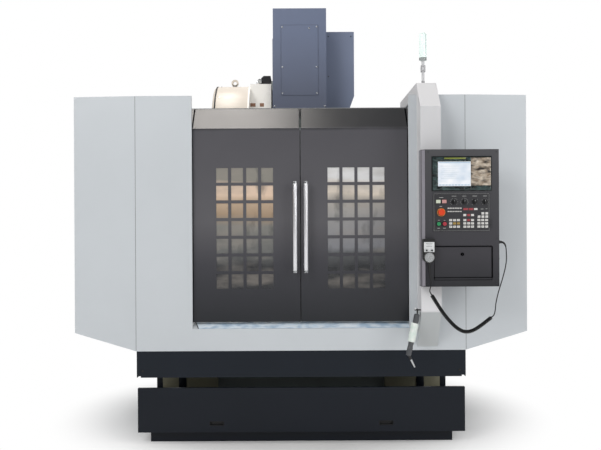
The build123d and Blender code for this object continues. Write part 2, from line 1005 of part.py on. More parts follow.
# Tool magazine drum with its gearbox and the hanger that bolts to the column
with BuildPart() as magazine_housing:
    axle_line = Axis((0, spindle_y, drum_z), (1, 0, 0))
    with BuildSketch(front_view(spindle_y)):
        with BuildLine():
            Polyline(
                (-drum_left - drum_dome, drum_z),
                (-drum_left - drum_dome, drum_z + drum_flat_radius),
                (-drum_left - drum_step, drum_top - drum_step),
                (-drum_left, drum_top),
                (-drum_right, drum_top),
                (-drum_right, drum_z),
                close=True,
            )
        make_face()
    revolve(axis=axle_line)
    with BuildSketch(front_view(spindle_y)):
        with BuildLine():
            inner_left = -drum_left - drum_dome + drum_wall
            inner_right = -drum_right - drum_wall
            inner_top = drum_top - drum_wall
            Polyline(
                (inner_left, drum_z),
                (inner_left, drum_z + drum_flat_radius),
                (-drum_left, inner_top),
                (inner_right, inner_top),
                (inner_right, drum_z),
                close=True,
            )
        make_face()
    revolve(axis=axle_line, mode=Mode.SUBTRACT)
    with BuildSketch(top_view(drum_z - drum_radius)):
        span(-gate_left, -gate_right, spindle_y - gate_length / 2, spindle_y + gate_length / 2)
    extrude(amount=gate_depth, mode=Mode.SUBTRACT)
    box_y = spindle_y - box_front
    box_back = box_y + box_length
    with BuildSketch(top_view(box_bottom)):
        span(-drum_right, -box_right, box_y, box_back)
    extrude(amount=drum_top - box_bottom)
    with BuildSketch(top_view(hanger_low)):
        foot_front = column_y + hanger_foot_set_back
        span(-drum_right, hanger_thickness - drum_right, box_back, foot_front + hanger_foot)
        span(-drum_right, -column_half_width, foot_front, foot_front + hanger_foot)
    extrude(amount=hanger_height)
    with BuildSketch(side_view(-drum_right - drum_wall)):
        spot(spindle_y, drum_z, axle_radius + seat)
    extrude(amount=drum_wall + axle_reach, mode=Mode.SUBTRACT)
    with BuildSketch(top_view(box_bottom)):
        spot(-changer_x, spindle_y, arm_shaft_radius + seat)
    shaft_in_box = arm_shaft_length - arm_drop + arm_thickness + 2 * seat
    extrude(amount=shaft_in_box, mode=Mode.SUBTRACT)
    with Locations((-drum_eye_x, spindle_y, drum_top - eye_wire)):
        Cylinder(eye_collar_radius, eye_collar_height + eye_wire, align=upright)
    with BuildSketch(front_view(spindle_y - eye_wire)):
        eye_z = drum_top + eye_collar_height + eye_radius + eye_wire / 2
        spot(-drum_eye_x, eye_z, eye_radius + eye_wire)
        with Locations((-drum_eye_x, eye_z)):
            Circle(eye_radius - eye_wire, mode=Mode.SUBTRACT)
    extrude(amount=-2 * eye_wire)
magazine_housing.part.label = "magazine_housing"
export_step(magazine_housing.part, "parts/magazine_housing.step")

# Electrical cabinet, open at the back, with its half of the hinges
with BuildPart() as electrical_cabinet:
    cabinet_top = cabinet_bottom + cabinet_height
    cabinet_rim = cabinet_back - cabinet_door_thickness - cabinet_door_gap
    hinge_x = cabinet_half_width + cabinet_hinge_reach
    hinge_y = cabinet_back - cabinet_door_thickness / 2
    cabinet_hinges = (
        cabinet_bottom + cabinet_hinge_inset,
        cabinet_top - cabinet_hinge_inset - 2 * cabinet_hinge_half,
    )
    with BuildSketch(front_view(cabinet_y)):
        span(-cabinet_half_width, cabinet_half_width, cabinet_bottom, cabinet_top)
    extrude(amount=cabinet_y - cabinet_rim)
    with BuildSketch(front_view(cabinet_y + cabinet_wall)):
        inner_x = cabinet_half_width - cabinet_wall
        span(-inner_x, inner_x, cabinet_bottom + cabinet_wall, cabinet_top - cabinet_wall)
    extrude(amount=cabinet_y + cabinet_wall - cabinet_rim, mode=Mode.SUBTRACT)
    for z in cabinet_hinges:
        with BuildSketch(top_view(z)):
            spot(hinge_x, hinge_y, cabinet_hinge_radius)
            leaf_left = hinge_x - cabinet_leaf_thickness - sheet
            span(cabinet_half_width, hinge_x, cabinet_rim - cabinet_leaf, cabinet_rim - sheet)
            span(leaf_left + sheet, hinge_x, cabinet_rim - cabinet_leaf, hinge_y)
        extrude(amount=cabinet_hinge_half)
        with Locations((hinge_x, hinge_y, z)):
            Cylinder(cabinet_pin_radius, 2 * cabinet_hinge_half, align=upright)
electrical_cabinet.part.label = "electrical_cabinet"
export_step(electrical_cabinet.part, "parts/electrical_cabinet.step")

# Cabinet door, a pan with its half of the hinges and the latch
with BuildPart() as cabinet_door:
    cover_x = cabinet_half_width - cabinet_door_gap
    with BuildSketch(front_view(cabinet_rim + cabinet_door_gap)):
        span(-cover_x, cover_x, cabinet_bottom, cabinet_top)
    extrude(amount=-cabinet_door_thickness)
    with BuildSketch(front_view(cabinet_rim + cabinet_door_gap)):
        inner_x = cover_x - cabinet_wall
        span(-inner_x, inner_x, cabinet_bottom + cabinet_wall, cabinet_top - cabinet_wall)
    extrude(amount=cabinet_wall - cabinet_door_thickness, mode=Mode.SUBTRACT)
    for z in cabinet_hinges:
        with BuildSketch(top_view(z + cabinet_hinge_half + seat)):
            spot(hinge_x, hinge_y, cabinet_hinge_radius)
            leaf_half = cabinet_leaf_thickness / 2
            span(cover_x - cabinet_wall, hinge_x, hinge_y - leaf_half, hinge_y + leaf_half)
            with Locations((hinge_x, hinge_y)):
                Circle(cabinet_pin_radius + seat, mode=Mode.SUBTRACT)
        extrude(amount=cabinet_hinge_half - seat)
    with BuildSketch(front_view(cabinet_back)):
        spot(latch_inset - cabinet_half_width, cabinet_bottom + cabinet_height / 2, latch_radius)
    extrude(amount=-latch_length)
cabinet_door.part.label = "cabinet_door"
export_step(cabinet_door.part, "parts/cabinet_door.step")

# Coolant tank, open at the top, with a tall front and a recessed plinth
with BuildPart() as coolant_tank:
    with BuildSketch(top_view(tank_bottom)):
        span(-tank_half_width, tank_half_width, front_y, tank_back)
    extrude(amount=tank_top - tank_bottom)
    with BuildSketch(top_view(tank_bottom + tank_wall)):
        inner_x = tank_half_width - tank_wall
        span(-inner_x, inner_x, front_y + tank_fascia, tank_back - tank_wall)
    extrude(amount=tank_top - tank_bottom, mode=Mode.SUBTRACT)
    with BuildSketch(top_view(tank_rim)):
        span(-tank_half_width, tank_half_width, front_y + tank_fascia, tank_back)
    extrude(amount=tank_top - tank_rim, mode=Mode.SUBTRACT)
    with BuildSketch(front_view(front_y)):
        with Locations((-pull_x, pull_z), (pull_x, pull_z)):
            Rectangle(pull_width, pull_height)
    extrude(amount=-pull_depth, mode=Mode.SUBTRACT)
    with BuildSketch(top_view(0)):
        inner_x = plinth_half_width - plinth_wall
        inner_front = front_y + plinth_set_back + plinth_wall
        span(-plinth_half_width, plinth_half_width, front_y + plinth_set_back, tank_back)
        with Locations((0, (inner_front + tank_back - plinth_wall) / 2)):
            Rectangle(2 * inner_x, tank_back - plinth_wall - inner_front, mode=Mode.SUBTRACT)
    extrude(amount=tank_bottom)
coolant_tank.part.label = "coolant_tank"
export_step(coolant_tank.part, "parts/coolant_tank.step")

window_width = pane_columns * pane_width + (pane_columns - 1) * pane_bar
window_height = pane_rows * pane_height + (pane_rows - 1) * pane_bar
door_outer = jamb_x + door_lap


def door_leaf(side):
    """Folded door pan with the sloped header and the window grid, open at the back."""
    fold = atan2(header_depth, header_rise)
    inner_y = door_y + door_thickness
    with BuildPart() as leaf:
        with BuildSketch(side_view(side * door_half_gap)):
            with BuildLine():
                Polyline(
                    (door_y, sill_high),
                    (door_y, door_bend_z),
                    (header_y, header_top),
                    (header_y, header_top - door_thickness / sin(fold)),
                    (inner_y, door_bend_z - door_thickness * tan(fold / 2)),
                    (inner_y, sill_high),
                    close=True,
                )
            make_face()
        extrude(amount=side * (door_outer - door_half_gap))
        back = leaf.faces().filter_by(lambda face: abs(face.center().Y - inner_y) < seat)
        under = leaf.faces().filter_by(
            lambda face: face.normal_at().Y > seat and face.normal_at().Z < -seat
        )
        offset(amount=-sheet, openings=back + under)
        with BuildSketch(front_view(door_y)):
            with Locations((side * window_x, window_z)):
                with GridLocations(
                    pane_width + pane_bar, pane_height + pane_bar, pane_columns, pane_rows
                ):
                    Rectangle(pane_width, pane_height)
        extrude(amount=-sheet, mode=Mode.SUBTRACT)
    return leaf.part


def door_glass(side):
    """Glass behind the window grid of one door."""
    with BuildPart() as pane:
        with BuildSketch(front_view(door_y + sheet)):
            with Locations((side * window_x, window_z)):
                Rectangle(window_width + 2 * glass_margin, window_height + 2 * glass_margin)
        extrude(amount=-glass_thickness)
    return pane.part


def door_handle(side):
    """Round bar handle on two posts."""
    with BuildPart() as bar:
        grip_y = door_y - handle_stand_off
        with Locations((side * handle_x, grip_y, handle_low)):
            Cylinder(handle_radius, handle_length, align=upright)
        with BuildSketch(front_view(grip_y)):
            spot(side * handle_x, handle_low + handle_post_inset, handle_post_radius)
            spot(side * handle_x, handle_low + handle_length - handle_post_inset, handle_post_radius)
        extrude(amount=-handle_stand_off)
    return bar.part


with BuildPart() as left_door:
    add(door_leaf(sides["left"]))
left_door.part.label = "left_door"
export_step(left_door.part, "parts/left_door.step")

with BuildPart() as right_door:
    add(door_leaf(sides["right"]))
right_door.part.label = "right_door"
export_step(right_door.part, "parts/right_door.step")

with BuildPart() as left_glass:
    add(door_glass(sides["left"]))
left_glass.part.label = "left_glass"
export_step(left_glass.part, "parts/left_glass.step")

with BuildPart() as right_glass:
    add(door_glass(sides["right"]))
right_glass.part.label = "right_glass"
export_step(right_glass.part, "parts/right_glass.step")

with BuildPart() as left_handle:
    add(door_handle(sides["left"]))
left_handle.part.label = "left_handle"
export_step(left_handle.part, "parts/left_handle.step")

with BuildPart() as right_handle:
    add(door_handle(sides["right"]))
right_handle.part.label = "right_handle"
export_step(right_handle.part, "parts/right_handle.step")

# Saddle with the X ways, screw blocks, Y nut, X motor and its segment of the way cover
with BuildPart() as saddle:
    saddle_back = saddle_front + saddle_length
    with BuildSketch(top_view(saddle_bottom)):
        span(-saddle_half_width, saddle_half_width, saddle_front, saddle_back)
    extrude(amount=saddle_top - saddle_bottom)
    with BuildSketch(top_view(saddle_top)):
        with Locations((0, spindle_y)):
            with GridLocations(1, x_way_pitch, 1, 2):
                Rectangle(2 * saddle_half_width, x_way_width)
    extrude(amount=x_way_height)
    with BuildSketch(top_view(saddle_bottom)):
        span(-hollow_half_width, hollow_half_width, saddle_front, saddle_back)
    extrude(amount=hollow_depth, mode=Mode.SUBTRACT)
    with BuildSketch(top_view(channel_z)):
        with Locations((0, spindle_y)):
            Rectangle(2 * saddle_half_width, 2 * channel_half_width)
    extrude(amount=channel_depth, mode=Mode.SUBTRACT)
    with BuildSketch(top_view(channel_z)):
        for side in sides.values():
            span(
                side * (saddle_half_width - x_block_length),
                side * saddle_half_width,
                spindle_y - block_half_width,
                spindle_y + block_half_width,
            )
    extrude(amount=x_block_height)
    with BuildSketch(side_view(-saddle_half_width)):
        spot(spindle_y, x_screw_z, journal_radius + seat)
    extrude(amount=2 * saddle_half_width, mode=Mode.SUBTRACT)
    with BuildSketch(top_view(saddle_bottom - y_nut_drop)):
        nut_front = spindle_y + y_nut_set_back
        span(-nut_half_width, nut_half_width, nut_front, nut_front + y_nut_length)
    extrude(amount=y_nut_drop + hollow_depth)
    with BuildSketch(front_view(nut_front)):
        spot(0, y_screw_z, screw_radius + screw_clearance)
    extrude(amount=-y_nut_length, mode=Mode.SUBTRACT)
    add(cover_segment(2, saddle_front))
    with BuildSketch(side_view(saddle_half_width)):
        with Locations((spindle_y, x_screw_z)):
            RectangleRounded(motor_square, motor_square, motor_corner)
    extrude(amount=motor_length)
    with BuildSketch(side_view(saddle_half_width + motor_length)):
        spot(spindle_y, x_screw_z, motor_bell_radius)
    extrude(amount=motor_bell_length)
saddle.part.label = "saddle"
export_step(saddle.part, "parts/saddle.step")

# Middle segment of the way cover
with BuildPart() as way_cover:
    mid_rear = (saddle_front + tray_front + sheet + cover_seg_length) / 2
    add(cover_segment(1, mid_rear))
way_cover.part.label = "way_cover"
export_step(way_cover.part, "parts/way_cover.step")


def ball_screw(start, along, body, journal_a, journal_b, thick, thin):
    """Stepped rod: a journal, the screw's body and a second journal along a direction."""
    with BuildPart() as rod:
        with BuildSketch(Plane(start, z_dir=along)):
            Circle(thin)
        extrude(amount=journal_a + body + journal_b)
        with BuildSketch(Plane(start, z_dir=along).offset(journal_a)):
            Circle(thick)
        extrude(amount=body)
    return rod.part


# Ballscrew of the Y slide
with BuildPart() as y_ballscrew:
    y_body = y_motor_y - 2 * block_length - bed_y - 2 * seat
    y_journal = block_length + seat
    add(
        ball_screw(
            (0, bed_y, y_screw_z),
            (0, 1, 0),
            y_body,
            y_journal,
            block_length,
            screw_radius,
            journal_radius,
        )
    )
y_ballscrew.part.label = "y_ballscrew"
export_step(y_ballscrew.part, "parts/y_ballscrew.step")

# Ballscrew of the X slide
with BuildPart() as x_ballscrew:
    x_body = 2 * (saddle_half_width - x_block_length - seat)
    add(
        ball_screw(
            (-saddle_half_width, spindle_y, x_screw_z),
            (1, 0, 0),
            x_body,
            x_block_length + seat,
            x_block_length,
            screw_radius,
            journal_radius,
        )
    )
x_ballscrew.part.label = "x_ballscrew"
export_step(x_ballscrew.part, "parts/x_ballscrew.step")

# Ballscrew of the Z slide
with BuildPart() as z_ballscrew:
    z_body = column_top - bracket_thickness - z_block_low - z_block_height - 2 * seat
    add(
        ball_screw(
            (0, z_screw_y, z_block_low),
            (0, 0, 1),
            z_body,
            z_block_height + seat,
            bracket_thickness,
            z_screw_radius,
            z_journal_radius,
        )
    )
z_ballscrew.part.label = "z_ballscrew"
export_step(z_ballscrew.part, "parts/z_ballscrew.step")

# Table with T-slots, guide ribs and the nut of the X screw
with BuildPart() as table:
    with BuildSketch(top_view(table_bottom)):
        with Locations((0, spindle_y)):
            Rectangle(2 * table_half_width, table_length)
    extrude(amount=table_top - table_bottom)
    for slot in range(slot_count):
        slot_y = spindle_y + (slot - (slot_count - 1) / 2) * slot_pitch
        foot_top = table_top - slot_neck
        with BuildSketch(side_view(-table_half_width)):
            span(slot_y - slot_width / 2, slot_y + slot_width / 2, foot_top, table_top)
            with Locations((slot_y, foot_top - slot_foot_height / 2)):
                Rectangle(slot_foot_width, slot_foot_height)
        extrude(amount=2 * table_half_width, mode=Mode.SUBTRACT)
    rib_outer = x_way_pitch / 2 - x_way_width / 2 - seat
    with BuildSketch(top_view(table_bottom)):
        with Locations((0, spindle_y)):
            with GridLocations(1, 2 * rib_outer - rib_width, 1, 2):
                Rectangle(2 * table_half_width, rib_width)
    extrude(amount=-rib_height)
    with BuildSketch(top_view(table_bottom)):
        with Locations((0, spindle_y)):
            Rectangle(2 * nut_half_width, 2 * nut_half_width)
    extrude(amount=channel_z + x_nut_gap - table_bottom)
    with BuildSketch(side_view(-nut_half_width)):
        spot(spindle_y, x_screw_z, screw_radius + screw_clearance)
    extrude(amount=2 * nut_half_width, mode=Mode.SUBTRACT)
table.part.label = "table"
export_step(table.part, "parts/table.step")

# Headstock: the slide with its gibs and nut, the casting and the spindle barrel
with BuildPart() as headstock:
    gib_inner = z_way_x + z_way_width / 2 + seat
    gib_outer = gib_inner + gib_width
    with BuildSketch(top_view(slide_bottom)):
        span(-gib_outer, gib_outer, slide_y, slide_back)
        for side in sides.values():
            span(side * gib_inner, side * gib_outer, slide_back, slide_back + gib_depth)
    extrude(amount=slide_top - slide_bottom)
    with BuildSketch(top_view(z_nut_low)):
        span(-nut_half_width, nut_half_width, slide_back, slide_back + z_nut_depth)
    extrude(amount=z_nut_height)
    with BuildSketch(side_view(-head_half_width)):
        with BuildLine():
            head_y = spindle_y - head_front
            Polyline(
                (head_y, head_top),
                (head_y, head_bottom + head_chin),
                (head_y + head_chin, head_bottom),
                (spindle_y + head_heel, head_bottom),
                (slide_y, slide_bottom),
                (slide_y, head_top),
                close=True,
            )
        make_face()
    extrude(amount=2 * head_half_width)
    with BuildSketch(top_view(barrel_bottom)):
        spot(0, spindle_y, barrel_radius)
    extrude(amount=head_bottom - barrel_bottom + head_chin)
    with BuildSketch(top_view(barrel_bottom)):
        spot(0, spindle_y, shaft_radius + seat)
    extrude(amount=head_top - barrel_bottom, mode=Mode.SUBTRACT)
    with BuildSketch(top_view(z_nut_low)):
        spot(0, z_screw_y, z_screw_radius + screw_clearance)
    extrude(amount=z_nut_height, mode=Mode.SUBTRACT)
headstock.part.label = "headstock"
export_step(headstock.part, "parts/headstock.step")

# Sheet metal cover of the head
with BuildPart() as head_cover:
    cover_back = cover_y + cover_length
    hood_x = cover_half_width - sheet
    with BuildSketch(top_view(head_top)):
        span(-cover_half_width, cover_half_width, cover_y, cover_back)
    extrude(amount=cover_top - head_top)
    with BuildSketch(top_view(head_top + sheet)):
        span(-hood_x, hood_x, cover_y + sheet, cover_back - sheet)
    extrude(amount=cover_top - head_top - 2 * sheet, mode=Mode.SUBTRACT)
    with BuildSketch(top_view(head_top)):
        opening_x = cover_half_width - cover_lip
        span(-opening_x, opening_x, cover_y + cover_lip, cover_back - cover_lip)
    extrude(amount=sheet, mode=Mode.SUBTRACT)
    with BuildSketch(front_view(cover_y)):
        span(-hatch_half_width, hatch_half_width, hatch_low, hatch_high)
    extrude(amount=hatch_thickness)
    with BuildSketch(side_view(-cover_half_width)):
        span(cover_y, cover_back, head_top, side_plate_top)
    extrude(amount=-side_plate_thickness)
    eye_y = cover_y + cover_length / 2
    with Locations((0, eye_y, cover_top)):
        Cylinder(eye_collar_radius, eye_collar_height, align=upright)
    with BuildSketch(front_view(eye_y - eye_wire)):
        eye_z = cover_top + eye_collar_height + eye_radius + eye_wire / 2
        spot(0, eye_z, eye_radius + eye_wire)
        with Locations((0, eye_z)):
            Circle(eye_radius - eye_wire, mode=Mode.SUBTRACT)
    extrude(amount=-2 * eye_wire)
head_cover.part.label = "head_cover"
export_step(head_cover.part, "parts/head_cover.step")

# Spindle motor inside the cover
with BuildPart() as spindle_motor:
    with BuildSketch(top_view(head_top)):
        with Locations((0, spindle_y)):
            RectangleRounded(spindle_motor_square, spindle_motor_square, spindle_motor_corner)
    extrude(amount=spindle_motor_height)
spindle_motor.part.label = "spindle_motor"
export_step(spindle_motor.part, "parts/spindle_motor.step")

# Cable duct on the right side of the head cover
with BuildPart() as cable_duct:
    duct_right = cover_half_width + duct_width
    with BuildSketch(front_view(cover_y + duct_set_back)):
        with BuildLine():
            Polyline(
                (cover_half_width, duct_bottom),
                (duct_right - duct_corner, duct_bottom),
                (duct_right, duct_corner_z),
                (duct_right, duct_top),
                (cover_half_width, duct_top),
                close=True,
            )
        make_face()
    extrude(amount=-duct_length)
cable_duct.part.label = "cable_duct"
export_step(cable_duct.part, "parts/cable_duct.step")

# Spindle with its taper and drive keys
with BuildPart() as spindle:
    taper_top = nose_bottom + taper_depth
    nose_top = barrel_bottom - seat
    with BuildSketch(front_view(spindle_y)):
        with BuildLine():
            Polyline(
                (taper_gauge_radius, nose_bottom),
                (nose_radius, nose_bottom),
                (nose_radius, nose_top),
                (shaft_radius, nose_top),
                (shaft_radius, head_top - seat),
                (0, head_top - seat),
                (0, taper_top + drawbar_depth),
                (drawbar_radius, taper_top + drawbar_depth),
                (drawbar_radius, taper_top),
                (taper_small_radius, taper_top),
                close=True,
            )
        make_face()
    revolve(axis=Axis((0, spindle_y, 0), (0, 0, 1)))
    with BuildSketch(top_view(nose_bottom - key_height)):
        with Locations((0, spindle_y)):
            with GridLocations(2 * nose_radius - 2 * key_length, 1, 2, 1):
                Rectangle(key_length, key_width)
    extrude(amount=key_height)
spindle.part.label = "spindle"
export_step(spindle.part, "parts/spindle.step")

# Carousel with its tool pockets
with BuildPart() as carousel:
    disc_right = drum_right + drum_wall + disc_gap
    with BuildSketch(side_view(-disc_right - disc_thickness)):
        spot(spindle_y, drum_z, disc_radius)
    extrude(amount=disc_thickness)
    with BuildSketch(side_view(-disc_right - disc_thickness)):
        with Locations((spindle_y, drum_z)):
            with PolarLocations(pocket_circle, pocket_count):
                RegularPolygon(pocket_radius, pocket_sides)
    extrude(amount=-pocket_length)
    with BuildSketch(side_view(-disc_right)):
        spot(spindle_y, drum_z, axle_radius)
    extrude(amount=disc_right - drum_right + axle_reach - seat)
carousel.part.label = "carousel"
export_step(carousel.part, "parts/carousel.step")

# Shaft that turns and lowers the changer arm
with BuildPart() as arm_shaft:
    arm_top = arm_low + arm_thickness
    with Locations((-changer_x, spindle_y, arm_top + seat)):
        Cylinder(arm_shaft_radius, arm_shaft_length, align=upright)
    with Locations((-changer_x, spindle_y, arm_low)):
        Cylinder(arm_spigot_radius, arm_thickness + 2 * seat, align=upright)
arm_shaft.part.label = "arm_shaft"
export_step(arm_shaft.part, "parts/arm_shaft.step")

# Changer arm with a gripper at either end
with BuildPart() as tool_arm:
    with BuildSketch(top_view(arm_low)):
        spot(-changer_x, spindle_y, arm_hub_radius)
        with Locations((-changer_x, spindle_y)):
            Rectangle(arm_bar_width, 2 * changer_x)
        for side in sides.values():
            spot(-changer_x, spindle_y + side * changer_x, grip_radius)
    extrude(amount=arm_thickness)
    with BuildSketch(top_view(arm_low)):
        spot(-changer_x, spindle_y, arm_spigot_radius + seat)
        for side in sides.values():
            grip_y = spindle_y + side * changer_x
            spot(-changer_x, grip_y, grip_bore_radius)
            span(
                -changer_x,
                -changer_x - side * 2 * grip_radius,
                grip_y - grip_mouth / 2,
                grip_y + grip_mouth / 2,
            )
    extrude(amount=arm_thickness, mode=Mode.SUBTRACT)
tool_arm.part.label = "tool_arm"
export_step(tool_arm.part, "parts/tool_arm.step")

# Pendant box with recesses for the screen and the panel, and the compartment below
with BuildPart() as pendant_box:
    with BuildSketch(top_view(pendant_low)):
        with BuildLine():
            Polyline(
                (pendant_left, pendant_back),
                (pendant_right, pendant_back),
                (pendant_right, pendant_front),
                (pendant_left + pendant_chamfer, pendant_front),
                (pendant_left, pendant_front + pendant_chamfer),
                close=True,
            )
        make_face()
    extrude(amount=pendant_high - pendant_low)
    with BuildSketch(front_view(pendant_front)):
        span(screen_left, screen_right, screen_low, screen_high)
    extrude(amount=screen_proud - screen_thickness, mode=Mode.SUBTRACT)
    with BuildSketch(front_view(pendant_front)):
        span(panel_left, panel_right, panel_low, panel_high)
    extrude(amount=panel_proud - panel_thickness, mode=Mode.SUBTRACT)
    with BuildSketch(front_view(pendant_front)):
        span(
            panel_left + panel_ledge,
            panel_right - panel_ledge,
            panel_low + panel_ledge,
            panel_high - panel_ledge,
        )
    extrude(amount=-control_depth, mode=Mode.SUBTRACT)
    with BuildSketch(front_view(pendant_front)):
        span(bay_left, bay_right, bay_low, bay_high)
    extrude(amount=-bay_depth, mode=Mode.SUBTRACT)
    with BuildSketch(side_view(bay_left - bay_pin_reach - seat)):
        spot(bay_axis_y, bay_axis_z, bay_pin_radius + seat)
    extrude(amount=bay_right - bay_left + 2 * bay_pin_reach + 2 * seat, mode=Mode.SUBTRACT)
    for z in (hinge_low, hinge_high):
        with BuildSketch(top_view(z + knuckle_height + seat)):
            spot(knuckle_x, knuckle_y, knuckle_radius)
            span(
                knuckle_x - knuckle_web / 2,
                knuckle_x + knuckle_web / 2,
                pendant_back,
                knuckle_y,
            )
            with Locations((knuckle_x, knuckle_y)):
                Circle(pin_radius + seat, mode=Mode.SUBTRACT)
        extrude(amount=knuckle_height - seat)
    socket_y = pendant_front + socket_set_back
    with BuildSketch(front_view(socket_y)):
        with BuildLine():
            Polyline(
                (pendant_right, socket_z),
                (pendant_right, socket_z + socket_radius),
                (pendant_right + socket_length, socket_z + socket_end_radius),
                (pendant_right + socket_length, socket_z),
                close=True,
            )
        make_face()
    revolve(axis=Axis((0, socket_y, socket_z), (1, 0, 0)))
    with BuildSketch(side_view(pendant_right)):
        spot(socket_y, side_knob_z, side_knob_radius)
    extrude(amount=side_knob_length)
pendant_box.part.label = "pendant_box"
export_step(pendant_box.part, "parts/pendant_box.step")

# Screen unit
with BuildPart() as screen_unit:
    screen_front = pendant_front - screen_proud
    with BuildSketch(front_view(screen_front)):
        span(screen_left, screen_right, screen_low, screen_high)
    extrude(amount=-screen_thickness)
    chamfer(screen_unit.faces().sort_by(Axis.Y)[0].edges(), length=screen_edge)
    with BuildSketch(front_view(screen_front)):
        span(
            display_left,
            display_left + display_width,
            display_low,
            display_low + display_height,
        )
    extrude(amount=-display_depth, mode=Mode.SUBTRACT)
screen_unit.part.label = "screen_unit"
export_step(screen_unit.part, "parts/screen_unit.step")

# Operator panel with its membrane keys, bezels and holes
with BuildPart() as operator_panel:
    with BuildSketch(front_view(panel_front)):
        span(panel_left, panel_right, panel_low, panel_high)
    extrude(amount=-panel_thickness)
    with BuildSketch(front_view(panel_front)):
        for block in range(key_blocks):
            block_x = key_x + block * key_block_pitch + key_pitch_x
            block_z = key_z + key_pitch_z * (key_rows - 1) / 2
            with Locations((block_x, block_z)):
                with GridLocations(key_pitch_x, key_pitch_z, key_columns, key_rows):
                    Rectangle(key_width_x, key_height_z)
        wide_z = key_z + key_pitch_z * key_rows + extra_rise
        for key in range(key_columns):
            with Locations((key_x + key_block_pitch + key * key_pitch_x, wide_z)):
                Rectangle(key_width_x, key_height_z)
    extrude(amount=key_proud)
    with BuildSketch(front_view(panel_front)):
        spot(estop_x, estop_z, estop_ring_radius)
    extrude(amount=estop_ring_height)
    with BuildSketch(front_view(panel_front)):
        for x in (start_x, stop_x):
            spot(x, button_z, button_radius + bezel_width)
    extrude(amount=bezel_height)
    with BuildSketch(front_view(panel_front - estop_ring_height)):
        spot(estop_x, estop_z, estop_stem_radius + seat)
        for x in (start_x, stop_x):
            spot(x, button_z, button_radius + seat)
        for x in (power_on_x, power_off_x):
            with Locations((x, power_z)):
                Rectangle(power_width + 2 * seat, power_height + 2 * seat)
    extrude(amount=-estop_ring_height - panel_thickness, mode=Mode.SUBTRACT)
operator_panel.part.label = "operator_panel"
export_step(operator_panel.part, "parts/operator_panel.step")

# Emergency stop button
with BuildPart() as estop_button:
    estop_back = panel_front - estop_ring_height - estop_travel - seat
    with BuildSketch(front_view(panel_front + stem_length)):
        spot(estop_x, estop_z, estop_stem_radius)
    extrude(amount=panel_front + stem_length - estop_back)
    with BuildSketch(front_view(estop_back)):
        spot(estop_x, estop_z, estop_radius)
    extrude(amount=estop_head_height)
    chamfer(estop_button.edges().sort_by(Axis.Y)[0], length=estop_round)
estop_button.part.label = "estop_button"
export_step(estop_button.part, "parts/estop_button.step")


def round_button(x):
    """Plain round push button that runs through its bezel."""
    with BuildPart() as button:
        with BuildSketch(front_view(panel_front + stem_length)):
            spot(x, button_z, button_radius)
        extrude(amount=stem_length + bezel_height + button_proud)
    return button.part


def power_button(x):
    """Rectangular lit push button."""
    with BuildPart() as button:
        with BuildSketch(front_view(panel_front + stem_length)):
            with Locations((x, power_z)):
                Rectangle(power_width, power_height)
        extrude(amount=stem_length + power_proud)
    return button.part


def rotary_knob(place):
    """Rotary knob, a skirt and a grip bar. Places count from the left."""
    with BuildPart() as knob:
        x = knob_first_x + place * knob_pitch
        with BuildSketch(front_view(panel_front - seat)):
            spot(x, knob_z, knob_radius)
        extrude(amount=knob_skirt)
        with BuildSketch(front_view(panel_front - seat - knob_skirt)):
            with Locations((x, knob_z)):
                Rectangle(knob_grip_width, 2 * knob_radius - 2 * knob_grip_inset)
        extrude(amount=knob_height - knob_skirt)
    return knob.part


with BuildPart() as start_button:
    add(round_button(start_x))
start_button.part.label = "start_button"
export_step(start_button.part, "parts/start_button.step")

with BuildPart() as stop_button:
    add(round_button(stop_x))
stop_button.part.label = "stop_button"
export_step(stop_button.part, "parts/stop_button.step")

with BuildPart() as power_on_button:
    add(power_button(power_on_x))
power_on_button.part.label = "power_on_button"
export_step(power_on_button.part, "parts/power_on_button.step")

with BuildPart() as power_off_button:
    add(power_button(power_off_x))
power_off_button.part.label = "power_off_button"
export_step(power_off_button.part, "parts/power_off_button.step")

with BuildPart() as mode_knob:
    add(rotary_knob(0))
mode_knob.part.label = "mode_knob"
export_step(mode_knob.part, "parts/mode_knob.step")

with BuildPart() as feed_knob:
    add(rotary_knob(1))
feed_knob.part.label = "feed_knob"
export_step(feed_knob.part, "parts/feed_knob.step")

with BuildPart() as rapid_knob:
    add(rotary_knob(2))
rapid_knob.part.label = "rapid_knob"
export_step(rapid_knob.part, "parts/rapid_knob.step")

with BuildPart() as speed_knob:
    add(rotary_knob(3))
speed_knob.part.label = "speed_knob"
export_step(speed_knob.part, "parts/speed_knob.step")

# Flap of the compartment, with its pins and lock
with BuildPart() as compartment_door:
    flap_left = bay_left + bay_gap
    flap_right = bay_right - bay_gap
    with BuildSketch(front_view(pendant_front)):
        span(flap_left, flap_right, bay_low + bay_gap, bay_high - bay_gap)
    extrude(amount=-bay_door_thickness)
    with BuildSketch(front_view(pendant_front)):
        spot(lock_x, lock_z, lock_radius)
    extrude(amount=lock_proud)
    with BuildSketch(side_view(bay_left - bay_pin_reach)):
        spot(bay_axis_y, bay_axis_z, bay_pin_radius)
    extrude(amount=bay_right - bay_left + 2 * bay_pin_reach)
compartment_door.part.label = "compartment_door"
export_step(compartment_door.part, "parts/compartment_door.step")

